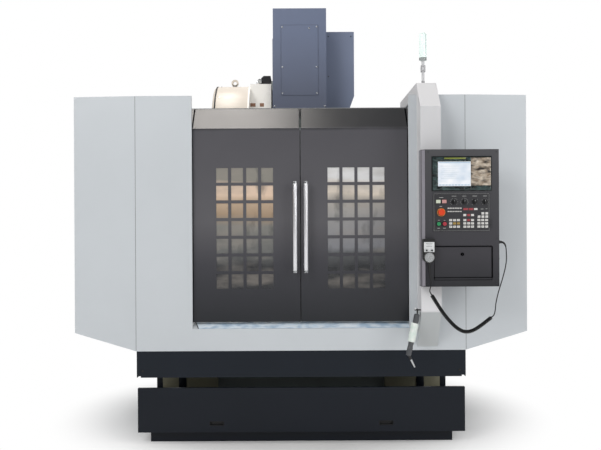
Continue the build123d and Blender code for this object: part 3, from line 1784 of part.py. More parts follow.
# Body of the handwheel unit
with BuildPart() as mpg_body:
    with BuildSketch(front_view(unit_front)):
        span(unit_x - unit_half_width, unit_x + unit_half_width, unit_wheel_z, unit_top)
        spot(unit_x, unit_wheel_z, unit_half_width)
    extrude(amount=-unit_thickness)
    with BuildSketch(front_view(unit_front)):
        span(unit_x - plate_half_width, unit_x + plate_half_width, plate_low, plate_high)
    extrude(amount=plate_proud)
    with BuildSketch(front_view(unit_front)):
        spot(unit_x, unit_wheel_z, wheel_axle_radius + seat)
    extrude(amount=-wheel_axle_length - seat, mode=Mode.SUBTRACT)
    with Locations((gland_x, unit_front + gland_set_back, gland_low)):
        gland_length = unit_wheel_z - unit_half_width + gland_radius - gland_low
        Cylinder(gland_radius, gland_length, align=upright)
mpg_body.part.label = "mpg_body"
export_step(mpg_body.part, "parts/mpg_body.step")

# Handwheel
with BuildPart() as mpg_wheel:
    with BuildSketch(front_view(unit_front + wheel_axle_length)):
        spot(unit_x, unit_wheel_z, wheel_axle_radius)
    extrude(amount=wheel_axle_length + wheel_gap)
    with BuildSketch(front_view(unit_front - wheel_gap)):
        spot(unit_x, unit_wheel_z, wheel_radius)
    extrude(amount=wheel_height)
mpg_wheel.part.label = "mpg_wheel"
export_step(mpg_wheel.part, "parts/mpg_wheel.step")


def selector(x):
    """Small selector knob on the plate of the handwheel unit."""
    with BuildPart() as knob:
        with BuildSketch(front_view(unit_front - plate_proud - seat)):
            spot(x, selector_z, selector_radius)
        extrude(amount=selector_height)
    return knob.part


with BuildPart() as mpg_axis_knob:
    add(selector(unit_x - selector_x))
mpg_axis_knob.part.label = "mpg_axis_knob"
export_step(mpg_axis_knob.part, "parts/mpg_axis_knob.step")

with BuildPart() as mpg_step_knob:
    add(selector(unit_x + selector_x))
mpg_step_knob.part.label = "mpg_step_knob"
export_step(mpg_step_knob.part, "parts/mpg_step_knob.step")


def bend_radii(points):
    """Radius at every corner: 0.45 of the shorter run over the tangent of half the turn."""
    radii = []
    for before, corner, after in zip(points, points[1:], points[2:]):
        arriving = Vector(*corner) - Vector(*before)
        leaving = Vector(*after) - Vector(*corner)
        half_turn = radians(arriving.get_angle(leaving)) / 2
        radii.append(bend_share * min(arriving.length, leaving.length) / tan(half_turn))
    return radii


def cord(points, radius):
    """Round tube along the points."""
    route = [(x, front_y - reach, z) for x, reach, z in points]
    radii = bend_radii(route)
    with BuildPart() as tube:
        with BuildLine():
            path = FilletPolyline(*route, radius=radii)
        with BuildSketch(Plane(path @ 0, z_dir=path % 0)):
            Circle(radius)
        sweep()
    share = tube.part.volume / (pi * radius**2 * path.length)
    print("cord radii", [round(r, 1) for r in radii])
    print("cord length", round(path.length, 1), "volume share", round(share, 3))
    return tube.part


def beyond(end, neighbour, reach):
    """Point past the end of a run, in line with it."""
    step = (Vector(*end) - Vector(*neighbour)).normalized() * reach
    return tuple(Vector(*end) + step)


# Curled part of the cord, as its outer shape. Points give X, the distance in front, and Z.
with BuildPart() as cord_coil:
    coil_points = [
        (673, 290, 838),
        (700, 291, 792),
        (737, 293, 735),
        (778, 295, 687),
        (815, 296, 655),
        (853, 297, 643),
        (893, 296, 655),
        (940, 293, 687),
        (984, 290, 721),
    ]
    add(cord(coil_points, coil_radius))
cord_coil.part.label = "cord_coil"
export_step(cord_coil.part, "parts/cord_coil.step")

# Straight part of the cord from the handwheel unit down to the curls
with BuildPart() as cord_lead:
    gland_reach = front_y - unit_front - gland_set_back
    lead_points = [
        (gland_x, gland_reach, gland_low),
        (gland_x, gland_reach, 966),
        (668, 284, 933),
        (673, 288, 897),
        (668.5, 290, 874),
        beyond(coil_points[0], coil_points[1], lead_join),
        coil_points[0],
    ]
    add(cord(lead_points, lead_radius))
cord_lead.part.label = "cord_lead"
export_step(cord_lead.part, "parts/cord_lead.step")

# Straight part of the cord from the curls up to its socket
with BuildPart() as cord_tail:
    socket_reach = front_y - socket_y
    tail_points = [
        coil_points[-1],
        beyond(coil_points[-1], coil_points[-2], tail_join),
        (1002, 289, 755),
        (1005, 287, 790),
        (1017, 281, 838),
        (1038, 268, 893),
        (1062, 246, 955),
        (1077, 228, 1010),
        (1078, 217, 1053),
        (1077.5, 213, 1078),
        (1072, socket_reach, 1095.5),
        (1060, socket_reach, socket_z),
        (pendant_right + socket_length, socket_reach, socket_z),
    ]
    add(cord(tail_points, lead_radius))
cord_tail.part.label = "cord_tail"
export_step(cord_tail.part, "parts/cord_tail.step")
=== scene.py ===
from math import cos, pi, radians, sin, tau

import bmesh
import bpy
from bpy.props import FloatProperty, FloatVectorProperty, IntProperty, PointerProperty
from bpy.types import Operator, Panel, PropertyGroup
from bpy.utils import register_class, unregister_class
from mathutils import Matrix, Vector, noise


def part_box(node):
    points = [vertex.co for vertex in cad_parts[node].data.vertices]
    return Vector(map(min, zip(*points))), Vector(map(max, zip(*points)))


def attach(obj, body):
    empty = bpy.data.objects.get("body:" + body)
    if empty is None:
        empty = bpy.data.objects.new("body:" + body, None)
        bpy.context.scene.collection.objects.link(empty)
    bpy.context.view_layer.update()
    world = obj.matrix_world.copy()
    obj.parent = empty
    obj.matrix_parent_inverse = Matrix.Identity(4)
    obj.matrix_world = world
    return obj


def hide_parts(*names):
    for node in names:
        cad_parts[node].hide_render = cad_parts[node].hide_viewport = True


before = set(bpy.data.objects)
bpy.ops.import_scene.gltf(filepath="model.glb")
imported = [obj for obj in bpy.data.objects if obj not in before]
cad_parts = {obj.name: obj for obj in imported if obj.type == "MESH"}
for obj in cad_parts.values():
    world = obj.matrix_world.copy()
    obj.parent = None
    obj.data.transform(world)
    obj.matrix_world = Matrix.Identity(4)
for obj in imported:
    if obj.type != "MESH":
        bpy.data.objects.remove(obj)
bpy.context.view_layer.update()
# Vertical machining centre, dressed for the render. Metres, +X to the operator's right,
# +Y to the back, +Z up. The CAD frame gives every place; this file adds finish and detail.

bl_info = {
    "name": "Machining Centre Dressing",
    "version": (1, 0, 0),
    "blender": (4, 5, 0),
    "location": "3D View > Sidebar > Machine",
    "description": "Finishes and small parts of a vertical machining centre",
    "category": "Object",
}

MM = 0.001
front_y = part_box("front_panel_left")[0][1]


# Colours and nodes

def linear(hex_colour):
    """Linear RGBA of an sRGB hex value."""
    parts = [int(hex_colour[i:i + 2], 16) / 255 for i in (0, 2, 4)]
    return [c / 12.92 if c <= 0.04045 else ((c + 0.055) / 1.055) ** 2.4 for c in parts] + [1.0]


def add_node(owner, kind, settings=None, links=None):
    """Adds one node, sets its properties and sockets, and links its inputs."""
    tree = owner.node_tree
    node = tree.nodes.new("ShaderNode" + kind)
    for key, value in (settings or {}).items():
        if isinstance(key, str) and hasattr(node, key):
            setattr(node, key, value)
        else:
            node.inputs[key].default_value = value
    for key, source in (links or {}).items():
        tree.links.new(source, node.inputs[key])
    return node


def shader_of(material):
    """The material's own shader."""
    return material.node_tree.nodes["Principled BSDF"]


def feed(material, socket, source):
    """Links a signal to one input of the material's shader."""
    material.node_tree.links.new(source, shader_of(material).inputs[socket])


def pattern(material, size_mm, low, high, stretch=(1, 1, 1), detail=2.0):
    """A cloudy signal in object space with blobs of about size_mm, spread from low to high."""
    place = add_node(material, "TexCoord")
    scaled = add_node(material, "Mapping", {"Scale": stretch}, {"Vector": place.outputs["Object"]})
    blobs = add_node(
        material, "TexNoise", {"Scale": 1 / (size_mm * MM), "Detail": detail},
        {"Vector": scaled.outputs["Vector"]},
    )
    # Nearly all of the noise lies between 0.3 and 0.7.
    return add_node(
        material, "MapRange", {"From Min": 0.3, "From Max": 0.7, "To Min": low, "To Max": high},
        {"Value": blobs.outputs["Fac"]},
    ).outputs["Result"]


def finish(name, colour, roughness, metallic=0.0, ior=1.5, cloud=(), gloss=(), skin=(), **sockets):
    """A material whose colour, gloss and skin vary in object space.

    cloud: other hex colour, blob size in mm, greatest share, stretch per axis
    gloss: blob size in mm, lowest and highest roughness, stretch per axis
    skin: blob size in mm, depth in mm, strength, stretch per axis
    """
    material = bpy.data.materials.new(name)
    material.use_nodes = True
    shader = shader_of(material)
    shader.inputs["Base Color"].default_value = linear(colour)
    shader.inputs["Roughness"].default_value = roughness
    shader.inputs["Metallic"].default_value = metallic
    shader.inputs["IOR"].default_value = ior
    for key, value in sockets.items():
        shader.inputs[key.replace("_", " ")].default_value = value
    if cloud:
        other, size_mm, share, *stretch = cloud
        mix = add_node(
            material, "Mix", {"data_type": "RGBA", 6: linear(colour), 7: linear(other)},
            {0: pattern(material, size_mm, 0.0, share, *stretch, detail=4.0)},
        )
        feed(material, "Base Color", mix.outputs[2])
    if gloss:
        size_mm, low, high, *stretch = gloss
        feed(material, "Roughness", pattern(material, size_mm, low, high, *stretch))
    if skin:
        size_mm, depth_mm, strength, *stretch = skin
        bump = add_node(
            material, "Bump", {"Strength": strength, "Distance": depth_mm * MM},
            {"Height": pattern(material, size_mm, 0.0, 1.0, *stretch, detail=1.0)},
        )
        feed(material, "Normal", bump.outputs["Normal"])
    return material


def by_height(material, waver_mm, *levels, along="Z"):
    """Lets the colour change with height, or along another axis: (metres, hex colour) from low to high."""
    place = add_node(material, "TexCoord")
    split = add_node(material, "SeparateXYZ", {}, {"Vector": place.outputs["Object"]})
    # Clouds of 240 mm shift the levels, so that they don't lie as straight bands.
    waver = add_node(
        material, "Math", {"operation": "ADD"},
        {0: split.outputs[along], 1: pattern(material, 240, -waver_mm * MM, waver_mm * MM, detail=4.0)},
    )
    result = None
    for (low, first), (high, second) in zip(levels, levels[1:]):
        share = add_node(
            material, "MapRange", {"From Min": low, "From Max": high}, {"Value": waver.outputs["Value"]}
        )
        settings = {"data_type": "RGBA", 7: linear(second)}
        links = {0: share.outputs["Result"]}
        if result is None:
            settings[6] = linear(first)
        else:
            links[6] = result
        result = add_node(material, "Mix", settings, links).outputs[2]
    feed(material, "Base Color", result)
    return result


# Finishes, each named for what the surface is and how it was made

def powder_coat(name, colour, worn, roughness=0.42, peel_mm=7.0, levels=(), shine=0.5):
    """Polyester powder coat on folded steel: a soft sheen broken by orange peel."""
    # Real peel is about 2 mm across; it is drawn coarser so that it shows at this distance.
    material = finish(
        name, colour, roughness, cloud=(worn, 420, 0.35), gloss=(160, roughness - 0.01, roughness + 0.03),
        skin=(peel_mm, 0.4, 0.06), Specular_IOR_Level=shine,
    )
    if levels:
        by_height(material, *levels)
    return material


def drum_coat(name):
    """Cream powder coat on the drum, painted near white on the gearbox beside it to lift the shade on the
    gearbox's front.
    """
    material = finish(name, "DCD3C7", 0.28, gloss=(160, 0.24, 0.36), skin=(7, 0.4, 0.06))
    # Painted light: near white from X -0.32 m, on the gearbox's front, which lies in shade.
    by_height(
        material, 0.2, (-0.45, "D2C9BC"), (-0.3205, "D6CDC1"), (-0.3195, "FFFCF6"), (-0.18, "FFFCF6"),
        along="X",
    )
    return material


def cast_enamel(name, colour, dark):
    """Brushed enamel over a filled casting: thick, uneven and a little glossy."""
    # Casting skin under paint, lumps of about 9 mm.
    return finish(name, colour, 0.4, cloud=(dark, 260, 0.6), skin=(9, 0.7, 0.5))


def scraped_iron(name):
    """Ground and scraped cast iron: grey, with crescents that catch the light."""
    material = finish(name, "A3A5A6", 0.34, 1.0, cloud=("7F8284", 90, 1.0))
    place = add_node(material, "TexCoord")
    # Scraper marks of about 14 mm.
    marks = add_node(
        material, "TexVoronoi", {"Scale": 1 / (14 * MM)}, {"Vector": place.outputs["Object"]}
    )
    rub = add_node(
        material, "MapRange", {"To Min": 0.24, "To Max": 0.46}, {"Value": marks.outputs["Distance"]}
    )
    feed(material, "Roughness", rub.outputs["Result"])
    return material


def brushed_stainless(name, along, bright, dull, roughness):
    """Stainless bar brushed along its length: long fine streaks and a stretched highlight."""
    # Brush lines are about 0.2 mm apart; drawn at 1.5 mm so that they show.
    stretch = [0.02 if axis == along else 1 for axis in range(3)]
    return finish(
        name, bright, roughness, 1.0, cloud=(dull, 1.5, 0.6, stretch),
        gloss=(1.5, roughness - 0.04, roughness + 0.06, stretch),
    )


def galvanised(name):
    """Hot-dip zinc on thin sheet: a pale grey spangle of 12 mm crystals."""
    material = finish(name, "B4B9BC", 0.4, 1.0)
    place = add_node(material, "TexCoord")
    cells = add_node(
        material, "TexVoronoi", {"Scale": 1 / (12 * MM)}, {"Vector": place.outputs["Object"]}
    )
    tone = add_node(material, "SeparateColor", {}, {"Color": cells.outputs["Color"]}).outputs["Red"]
    mix = add_node(
        material, "Mix", {"data_type": "RGBA", 6: linear("B4B9BC"), 7: linear("8C9194")}, {0: tone}
    )
    rub = add_node(material, "MapRange", {"To Min": 0.3, "To Max": 0.5}, {"Value": tone})
    feed(material, "Base Color", mix.outputs[2])
    feed(material, "Roughness", rub.outputs["Result"])
    return material


def ground_steel(name, colour="C4C6C8", dull="9EA1A4", roughness=0.2):
    """Ground and hardened steel: bright, with fine lines from the wheel drawn at 2 mm."""
    return finish(
        name, colour, roughness, 1.0, cloud=(dull, 40, 0.5), gloss=(2, roughness - 0.05, roughness + 0.12)
    )


def turned_aluminium(name):
    """Turned and clear-anodised aluminium: satin, with a faint cross grain."""
    return finish(
        name, "CDCFD0", 0.3, 1.0, cloud=("A6A9AB", 9, 0.6), gloss=(0.8, 0.22, 0.4, (1, 0.2, 1))
    )


def moulded_plastic(name, colour, dark, roughness=0.35, grain_mm=1.2):
    """Injection-moulded ABS: even colour, fine spark-eroded grain."""
    return finish(name, colour, roughness, 0.0, 1.53, cloud=(dark, 30, 0.4), skin=(grain_mm, 0.05, 0.4))


def lit_lens(name, colour, deep, glow, clear=0.0):
    """Ribbed polycarbonate over a small lamp: the colour seems to come from inside."""
    material = finish(
        name, colour, 0.2, 0.0, 1.58, cloud=(deep, 60, 0.5), Transmission_Weight=clear,
        Emission_Color=linear(colour), Emission_Strength=glow,
    )
    place = add_node(material, "TexCoord")
    # Prism ribs inside the lens, about 6 mm apart.
    ribs = add_node(
        material, "TexWave", {"bands_direction": "Z", "Scale": 1 / (20 * MM)},
        {"Vector": place.outputs["Object"]},
    )
    bump = add_node(
        material, "Bump", {"Strength": 0.3, "Distance": 0.5 * MM}, {"Height": ribs.outputs["Fac"]}
    )
    feed(material, "Normal", bump.outputs["Normal"])
    return material


def sheet_glass(name, *levels):
    """Laminated safety glass with a dull inner sheet: grey and misted, with bands of the room's reflection
    painted into its colour by height; it also mirrors the room.
    """
    material = finish(
        name, "7C8680", 0.08, 0.0, 1.52, gloss=(60, 0.05, 0.18), Transmission_Weight=0.15
    )
    # Painted reflection: the levels paint bright warm bands and dark ones of the room into the glass.
    base = by_height(material, 14, *levels)
    # Dried coolant mist in wide bands, warm above and grey below.
    mist = add_node(
        material, "Mix", {"data_type": "RGBA", 7: linear("A39B92")},
        {0: pattern(material, 150, -0.45, 0.4, (0.5, 1, 1.6), 4.0), 6: base},
    )
    streaks = add_node(
        material, "Mix", {"data_type": "RGBA", 7: linear("4A4C4D")},
        {0: pattern(material, 90, -0.85, 0.5, (1, 1, 0.5), 4.0), 6: mist.outputs[2]},
    )
    feed(material, "Base Color", streaks.outputs[2])
    return material


def neoprene(name):
    """Dead matt black: the face of the flap's lock, and bands of painted shadow in the gaps at the doors'
    edges and round the flap.
    """
    return finish(name, "08080A", 0.9, 0.0, 1.4, gloss=(40, 0.85, 0.95), Specular_IOR_Level=0.0)


def cord_sheath(name):
    """PVC cable sheath: black, slightly greasy sheen, with faint rings from the extruder."""
    return finish(
        name, "08080A", 0.34, 0.0, 1.53, gloss=(25, 0.28, 0.44), skin=(1.0, 0.04, 0.5), Specular_IOR_Level=0.3
    )


def printed_film(name, colour, dark, roughness=0.38):
    """Screen-printed polyester overlay: satin, with a very fine texture."""
    return finish(name, colour, roughness, 0.0, 1.57, cloud=(dark, 45, 0.5), skin=(1.5, 0.03, 0.4))


def protective_film(name, colour, other, deep, size_mm=28):
    """Polyethylene film left on at delivery: thin, glossy and full of creases."""
    material = finish(
        name, colour, 0.14, 0.0, 1.5, cloud=(other, size_mm, 1.0, (1, 1, 1.7)), gloss=(20, 0.06, 0.25),
        skin=(size_mm * 0.7, 1.6, 0.7, (1, 1, 1.7)),
    )
    base = shader_of(material).inputs["Base Color"].links[0].from_socket
    # Painted shade: a darker colour in cloudy bands stands for the shade in the film's creases.
    crease_shade = add_node(
        material, "Mix", {"data_type": "RGBA", 7: linear(deep)},
        {0: pattern(material, size_mm, -0.6, 1.1, (0.7, 1, 1.5), 1.0), 6: base},
    )
    feed(material, "Base Color", crease_shade.outputs[2])
    return material


def backlit_display(name):
    """Liquid crystal panel behind clear glass: white and lit, bluer in patches."""
    material = finish(
        name, "ECEDF0", 0.1, 0.0, 1.52, cloud=("C3CFDC", 80, 1.0, (1, 1, 1.6)), Emission_Strength=0.18
    )
    glow = shader_of(material).inputs["Base Color"].links[0].from_socket
    feed(material, "Emission Color", glow)
    return material


paint = {}


def mix_paints():
    """Makes every finish once, named for the surface that carries it."""
    paint.update(
        panel=powder_coat("panel grey powder coat", "C8CDD1", "BFC4C8"),
        side=powder_coat("side panel powder coat", "C8CDD1", "BCC1C5"),
        pillar=powder_coat(
            "pillar powder coat", "CFCFD1", "C6C6C9",
            # Painted shade: darker below 0.73 m, on the lower face that slopes down; painted paler above it,
            # back to the coat's own grey by 1.1 m.
            levels=(0.4, (0.7290, "BDC1C2"), (0.7335, "DEDEE0"), (0.92, "DCDCDE"), (1.10, "CFCFD1")),
        ),
        base=powder_coat("base navy powder coat", "151B23", "1A202A", 0.36, shine=0.22),
        tank=powder_coat("tank navy powder coat", "12171F", "171C26", 0.36, shine=0.22),
        door=powder_coat(
            "door charcoal powder coat", "4A494E", "3F3F45", 0.3,
            # Painted reflection: brightest at about 1.2 m, darker towards the bottom, and dark on the sloping
            # header above 1.745 m.
            levels=(
                5, (0.68, "10141B"), (0.98, "38383E"), (1.22, "59585C"), (1.72, "515055"), (1.745, "232427"),
            ),
        ),
        hood=powder_coat(
            "hood slate powder coat", "6A748C", "5F667A", 0.4,
            # Painted shade: darker towards the bottom of the hood.
            levels=(40, (1.98, "5E6578"), (2.40, "6A748C")),
        ),
        joint=powder_coat("slate seam", "4F5668", "4A5060", 0.5),
        # Painted light: the hood's slate, painted paler to lift the shade that the hood casts on the duct.
        duct=powder_coat("duct slate powder coat", "7A849C", "6F788D", 0.4),
        drum=drum_coat("drum cream powder coat"),
        pendant=powder_coat(
            "pendant graphite powder coat", "414144", "37373B", 0.42, 3.0, shine=0.35,
            # Painted shade: darker towards the bottom of the box.
            levels=(30, (0.88, "25262A"), (1.05, "39383D"), (1.30, "3F3F43"), (1.59, "4A4A4D")),
        ),
        # Painted light: paler greys for the pendant's chamfer and left side, which catch the light from the
        # left.
        corner=powder_coat("pendant corner coat, painted light", "8F8C94", "7F7C84", 0.38, 3.0),
        edge=powder_coat("pendant side coat, painted light", "8D8B93", "807E86", 0.4, 3.0),
        cabinet=powder_coat("cabinet grey powder coat", "C6CACD", "B7BCC0"),
        motor=powder_coat("motor black coat", "17171A", "242427", 0.38, 4.0),
        casting=cast_enamel("casting enamel", "8F9795", "7B8381"),
        ways=scraped_iron("scraped cast iron"),
        handle=brushed_stainless("brushed stainless tube", 2, "F0F0F2", "C9C9CD", 0.34),
        rail=brushed_stainless("drawn stainless rail", 0, "D6D7D8", "A9ABAD", 0.28),
        zinc=galvanised("galvanised sheet"),
        steel=ground_steel("ground steel"),
        dark_steel=ground_steel("blackened steel", "4A4B4E", "3B3C3F", 0.32),
        aluminium=turned_aluminium("turned aluminium"),
        neoprene=neoprene("neoprene edge strip"),
        left_glass=sheet_glass(
            "left door safety glass", (0.97, "24262A"), (1.04, "6C6D6C"), (1.20, "8A8984"), (1.26, "AC967E"),
            (1.34, "CDB59C"), (1.37, "ECD2BA"), (1.42, "E8CFBA"), (1.45, "95928A"),
        ),
        right_glass=sheet_glass(
            "right door safety glass", (0.96, "1C1F23"), (1.04, "606264"), (1.07, "88898E"), (1.24, "A3A2A1"),
            (1.34, "BEB8B0"), (1.37, "F0E4D4"), (1.42, "EAE2D8"), (1.45, "EAEAEA"),
        ),
        black=moulded_plastic("black ABS", "0F0F11", "19191C"),
        grey=moulded_plastic("grey ABS", "4C4E51", "414346"),
        fog=moulded_plastic("light grey ABS", "A6A6A8", "969698"),
        white=moulded_plastic("white ABS", "D9DBDC", "CACDCE", 0.3),
        gasket=moulded_plastic("black rubber gasket", "0C0C0E", "151517", 0.6, 2.0),
        yellow=moulded_plastic("yellow ABS", "DE9436", "C98428", 0.32),
        red=moulded_plastic("red ABS", "E0441A", "CC3A14", 0.28),
        maroon=moulded_plastic("dark red ABS", "A83440", "8E2A36", 0.28),
        green=moulded_plastic("green ABS", "2C8F5A", "237A4B", 0.28),
        key_white=moulded_plastic("white key film", "D2D1CE", "C4C3C0", 0.4),
        key_red=moulded_plastic("red key film", "9C3A40", "8A3036", 0.4),
        key_yellow=moulded_plastic("yellow key film", "A98C4A", "957A3C", 0.4),
        gun=moulded_plastic("air gun body ABS", "F0F3EF", "A9D2C0", 0.3, 4.0),
        lamp=lit_lens("lamp lens", "F0F8F5", "BFE2D6", 0.16, 0.6),
        lit_white=lit_lens("lit white lens", "C6CDBB", "B2BAA6", 0.1),
        lit_pink=lit_lens("lit pink lens", "BE8F8C", "A87A78", 0.1),
        sheath=cord_sheath("cord sheath"),
        overlay=printed_film("panel overlay film", "2A2A2E", "232327"),
        legend=printed_film("white legend ink", "B9BAB8", "A9ABA8"),
        bezel=printed_film("glossy screen front", "141C1C", "0F1515", 0.12),
        display=backlit_display("lit display"),
        screen_ink=printed_film("display grey", "C6D2D8", "B8C8D0"),
        screen_blue=printed_film("display blue", "B4CBDD", "A4BFD4"),
        sill_film=protective_film("protective film on the sill", "CBDDEC", "E2EAF1", "A9BFD4", 40),
        # Painted reflection: warm brown and cream on the screen film, and teal along its edges, stand for
        # what the glossy film reflects.
        screen_film=protective_film("screen film with painted warm reflection", "7E6C58", "D0C4B4", "2A2624", 30),
        teal_film=protective_film("screen film edge with painted teal reflection", "1F2B2C", "405554", "111819", 22),
        olive_tape=printed_film("olive tape", "77802A", "656C24"),
        olive=powder_coat("olive primer", "908D76", "807D68", 0.6),
        oxide=powder_coat("brown oxide primer", "9A735C", "84604C", 0.6),
    )


# Shapes

FRONT, BACK, UP, DOWN, LEFT, RIGHT = (0, -1, 0), (0, 1, 0), (0, 0, 1), (0, 0, -1), (-1, 0, 0), (1, 0, 0)
SIDES = (("left", -1), ("right", 1))
ROUNDED_OVER = radians(35)
SHARP_OVER = radians(40)


def middle(low, high):
    """The point halfway between two corners."""
    return [(h + l) / 2 for l, h in zip(low, high)]


def angles(count):
    """So many equal steps round a full turn."""
    return [tau * i / count for i in range(count)]


def dress(nodes, coat, edge_mm=0.0, segments=2):
    """Gives CAD nodes their finish, and rounds their edges a little so that they catch the light."""
    for node in nodes.split():
        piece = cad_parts[node]
        piece.data.materials.clear()
        piece.data.materials.append(paint[coat])
        if edge_mm:
            weld = piece.modifiers.new("weld", "WELD")
            weld.merge_threshold = 0.01 * MM
            bevel = piece.modifiers.new("edge", "BEVEL")
            bevel.width = edge_mm * MM
            bevel.segments = segments
            bevel.limit_method = "ANGLE"
            bevel.angle_limit = ROUNDED_OVER
            bevel.use_clamp_overlap = True
            bevel.harden_normals = True


def show(piece, coat, body):
    """Gives a new piece its finish and lets it ride on a body."""
    piece.data.materials.append(paint[coat])
    bpy.context.scene.collection.objects.link(piece)
    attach(piece, body)


def settle(name, mesh, coat, body, smooth=True):
    """Turns a bmesh into a piece with a finish that rides on a body."""
    data = bpy.data.meshes.new(name)
    mesh.to_mesh(data)
    mesh.free()
    if smooth:
        for face in data.polygons:
            face.use_smooth = True
        data.set_sharp_from_angle(angle=SHARP_OVER)
    piece = bpy.data.objects.new(name, data)
    show(piece, coat, body)
    return piece


def block(mesh, low, high, round_mm=1.0, segments=2):
    """Adds a box between two corners, with rounded edges, to a bmesh.

    Turned forms go into the bmesh first: after a bevel, new faces come in another order in each run.
    """
    made = bmesh.ops.create_cube(mesh, size=1.0)["verts"]
    size = [abs(h - l) for l, h in zip(low, high)]
    bmesh.ops.scale(mesh, vec=size, verts=made)
    bmesh.ops.translate(mesh, vec=middle(low, high), verts=made)
    # The rounding leaves a tenth of the thinnest side flat.
    width = min(round_mm * MM, min(size) * 0.45)
    # Each edge once, always in the same order.
    edges = list(dict.fromkeys(edge for vert in made for edge in vert.link_edges))
    bmesh.ops.bevel(
        mesh, geom=edges, offset=width, segments=segments, profile=0.5, affect="EDGES", clamp_overlap=True
    )


def plate(mesh, across, up, face, proud, round_mm=0.2):
    """Adds a thin plate on a front, from its two ends across and up and how far it stands out."""
    sunk = 1.0 * MM
    block(mesh, (across[0], face - proud, up[0]), (across[1], face + sunk, up[1]), round_mm, 1)


def ink(mesh, x, z, width, height, y, proud=0.0003):
    """Adds a thin printed or raised plate. Its width and height are in millimetres."""
    half, rise = width * MM / 2, height * MM / 2
    plate(mesh, (x - half, x + half), (z - rise, z + rise), y, proud, 0.25)


def slab(name, low, high, coat, body, round_mm=1.0, segments=2):
    """One rounded box as a piece."""
    mesh = bmesh.new()
    block(mesh, low, high, round_mm, segments)
    settle(name, mesh, coat, body)


def loft(mesh, rings, closed=False):
    """Joins rings of corners by faces. An open row of rings ends in lids, or in a point."""
    sides = max(len(ring) for ring in rings)
    for low, high in zip(rings, rings[1:] + (rings[:1] if closed else [])):
        for i in range(sides):
            j = (i + 1) % sides
            corners = [low[i % len(low)], low[j % len(low)], high[j % len(high)], high[i % len(high)]]
            unique = list(dict.fromkeys(corners))
            if len(unique) > 2:
                mesh.faces.new(unique)
    lids = [] if closed else [rings[0][::-1], rings[-1]]
    for lid in lids:
        if len(lid) > 1:
            mesh.faces.new(lid)


def weave(mesh, columns, rows, spot):
    """Adds a grid of faces. spot gives the place of each corner from its column and row."""
    grid = [[mesh.verts.new(spot(i, j)) for j in range(rows + 1)] for i in range(columns + 1)]
    for i in range(columns):
        for j in range(rows):
            mesh.faces.new([grid[i][j], grid[i + 1][j], grid[i + 1][j + 1], grid[i][j + 1]])


def crumple(broad, fine, share):
    """Height of creased film: broad ridges and a share of finer ones, from two places in the noise."""
    return abs(noise.noise(Vector(broad))) + share * abs(noise.noise(Vector(fine)))


def lathe(mesh, profile, centre, axis, steps=48, closed=False):
    """Adds a turned form: profile gives (radius, distance along the axis) pairs.

    A closed profile comes back to its start, and the form is then a ring.
    """
    place = Matrix.Translation(centre) @ Vector(UP).rotation_difference(Vector(axis)).to_matrix().to_4x4()
    loft(mesh, [
        [
            mesh.verts.new(place @ Vector((radius * cos(a), radius * sin(a), height)))
            for a in angles(steps if radius > 0 else 1)
        ]
        for radius, height in profile
    ], closed)


def lathe_ring(mesh, centre, hole, ring, height):
    """Adds a rounded ring that stands out from a face towards the front."""
    soft = min(0.0008, (ring - hole) * 0.3)
    lathe(mesh, [
        (hole, 0), (hole, height - soft), (hole + soft, height), (ring - soft, height), (ring, height - soft),
        (ring, 0),
    ], centre, FRONT, closed=True)


def turned(name, coat, body, centre, axis, steps, *profile):
    """One turned form as a piece."""
    mesh = bmesh.new()
    lathe(mesh, profile, centre, axis, steps)
    return settle(name, mesh, coat, body)


def ribs(mesh, count, sides, centre, radius, across, axis, *profile):
    """Adds thin turned ribs on a circle that lies in Z and in another axis, 0 for X and 1 for Y."""
    for a in angles(count):
        spot = [centre[0], centre[1], centre[2] + radius * sin(a)]
        spot[across] += radius * cos(a)
        lathe(mesh, profile, spot, axis, sides)


def socket_screw(mesh, centre, axis, radius, height):
    """Adds a cap screw head with its recess. Its radius and height are in millimetres."""
    r, h = radius * MM, height * MM
    profile = [(r, 0), (r, h * 0.85), (r * 0.92, h), (r * 0.5, h), (r * 0.48, h * 0.35), (0, h * 0.35)]
    lathe(mesh, profile, centre, axis, 20)


def screws(name, coat, body, radius, height, spots):
    """A set of cap screws as a piece. Each spot is a place and the way that its head looks."""
    mesh = bmesh.new()
    for centre, axis in spots:
        socket_screw(mesh, centre, axis, radius, height)
    settle(name, mesh, coat, body)


def eyebolt(name, foot, body):
    """Forged eyebolt over the CAD's plain ring: swept eye, collar and shank."""
    radius, wire, collar = 0.017, 0.006, 0.006
    mesh = bmesh.new()
    centre = Vector((foot[0], foot[1], foot[2] + collar + radius + wire / 2))
    rows = []
    for a in angles(40):
        out = Vector((cos(a), 0, sin(a)))
        # The wire is thicker in the lower half, where the forging meets the shank.
        thick = wire * (1.0 + 0.12 * max(0.0, -sin(a)))
        rows.append([
            mesh.verts.new(centre + out * (radius + thick * cos(b)) + Vector((0, thick * sin(b), 0)))
            for b in angles(14)
        ])
    loft(mesh, list(zip(*rows)), closed=True)
    lathe(mesh, [(0.0145, 0), (0.0145, 0.0045), (0.0125, 0.0065), (0.008, 0.012)], foot, UP, 36)
    settle(name, mesh, "dark_steel", body)


# Sizes and colours that a user may change

def distance(name, description, default, least):
    """A length that a user may change, in metres."""
    return FloatProperty(
        name=name, description=description, default=default, min=least, subtype="DISTANCE", unit="LENGTH"
    )


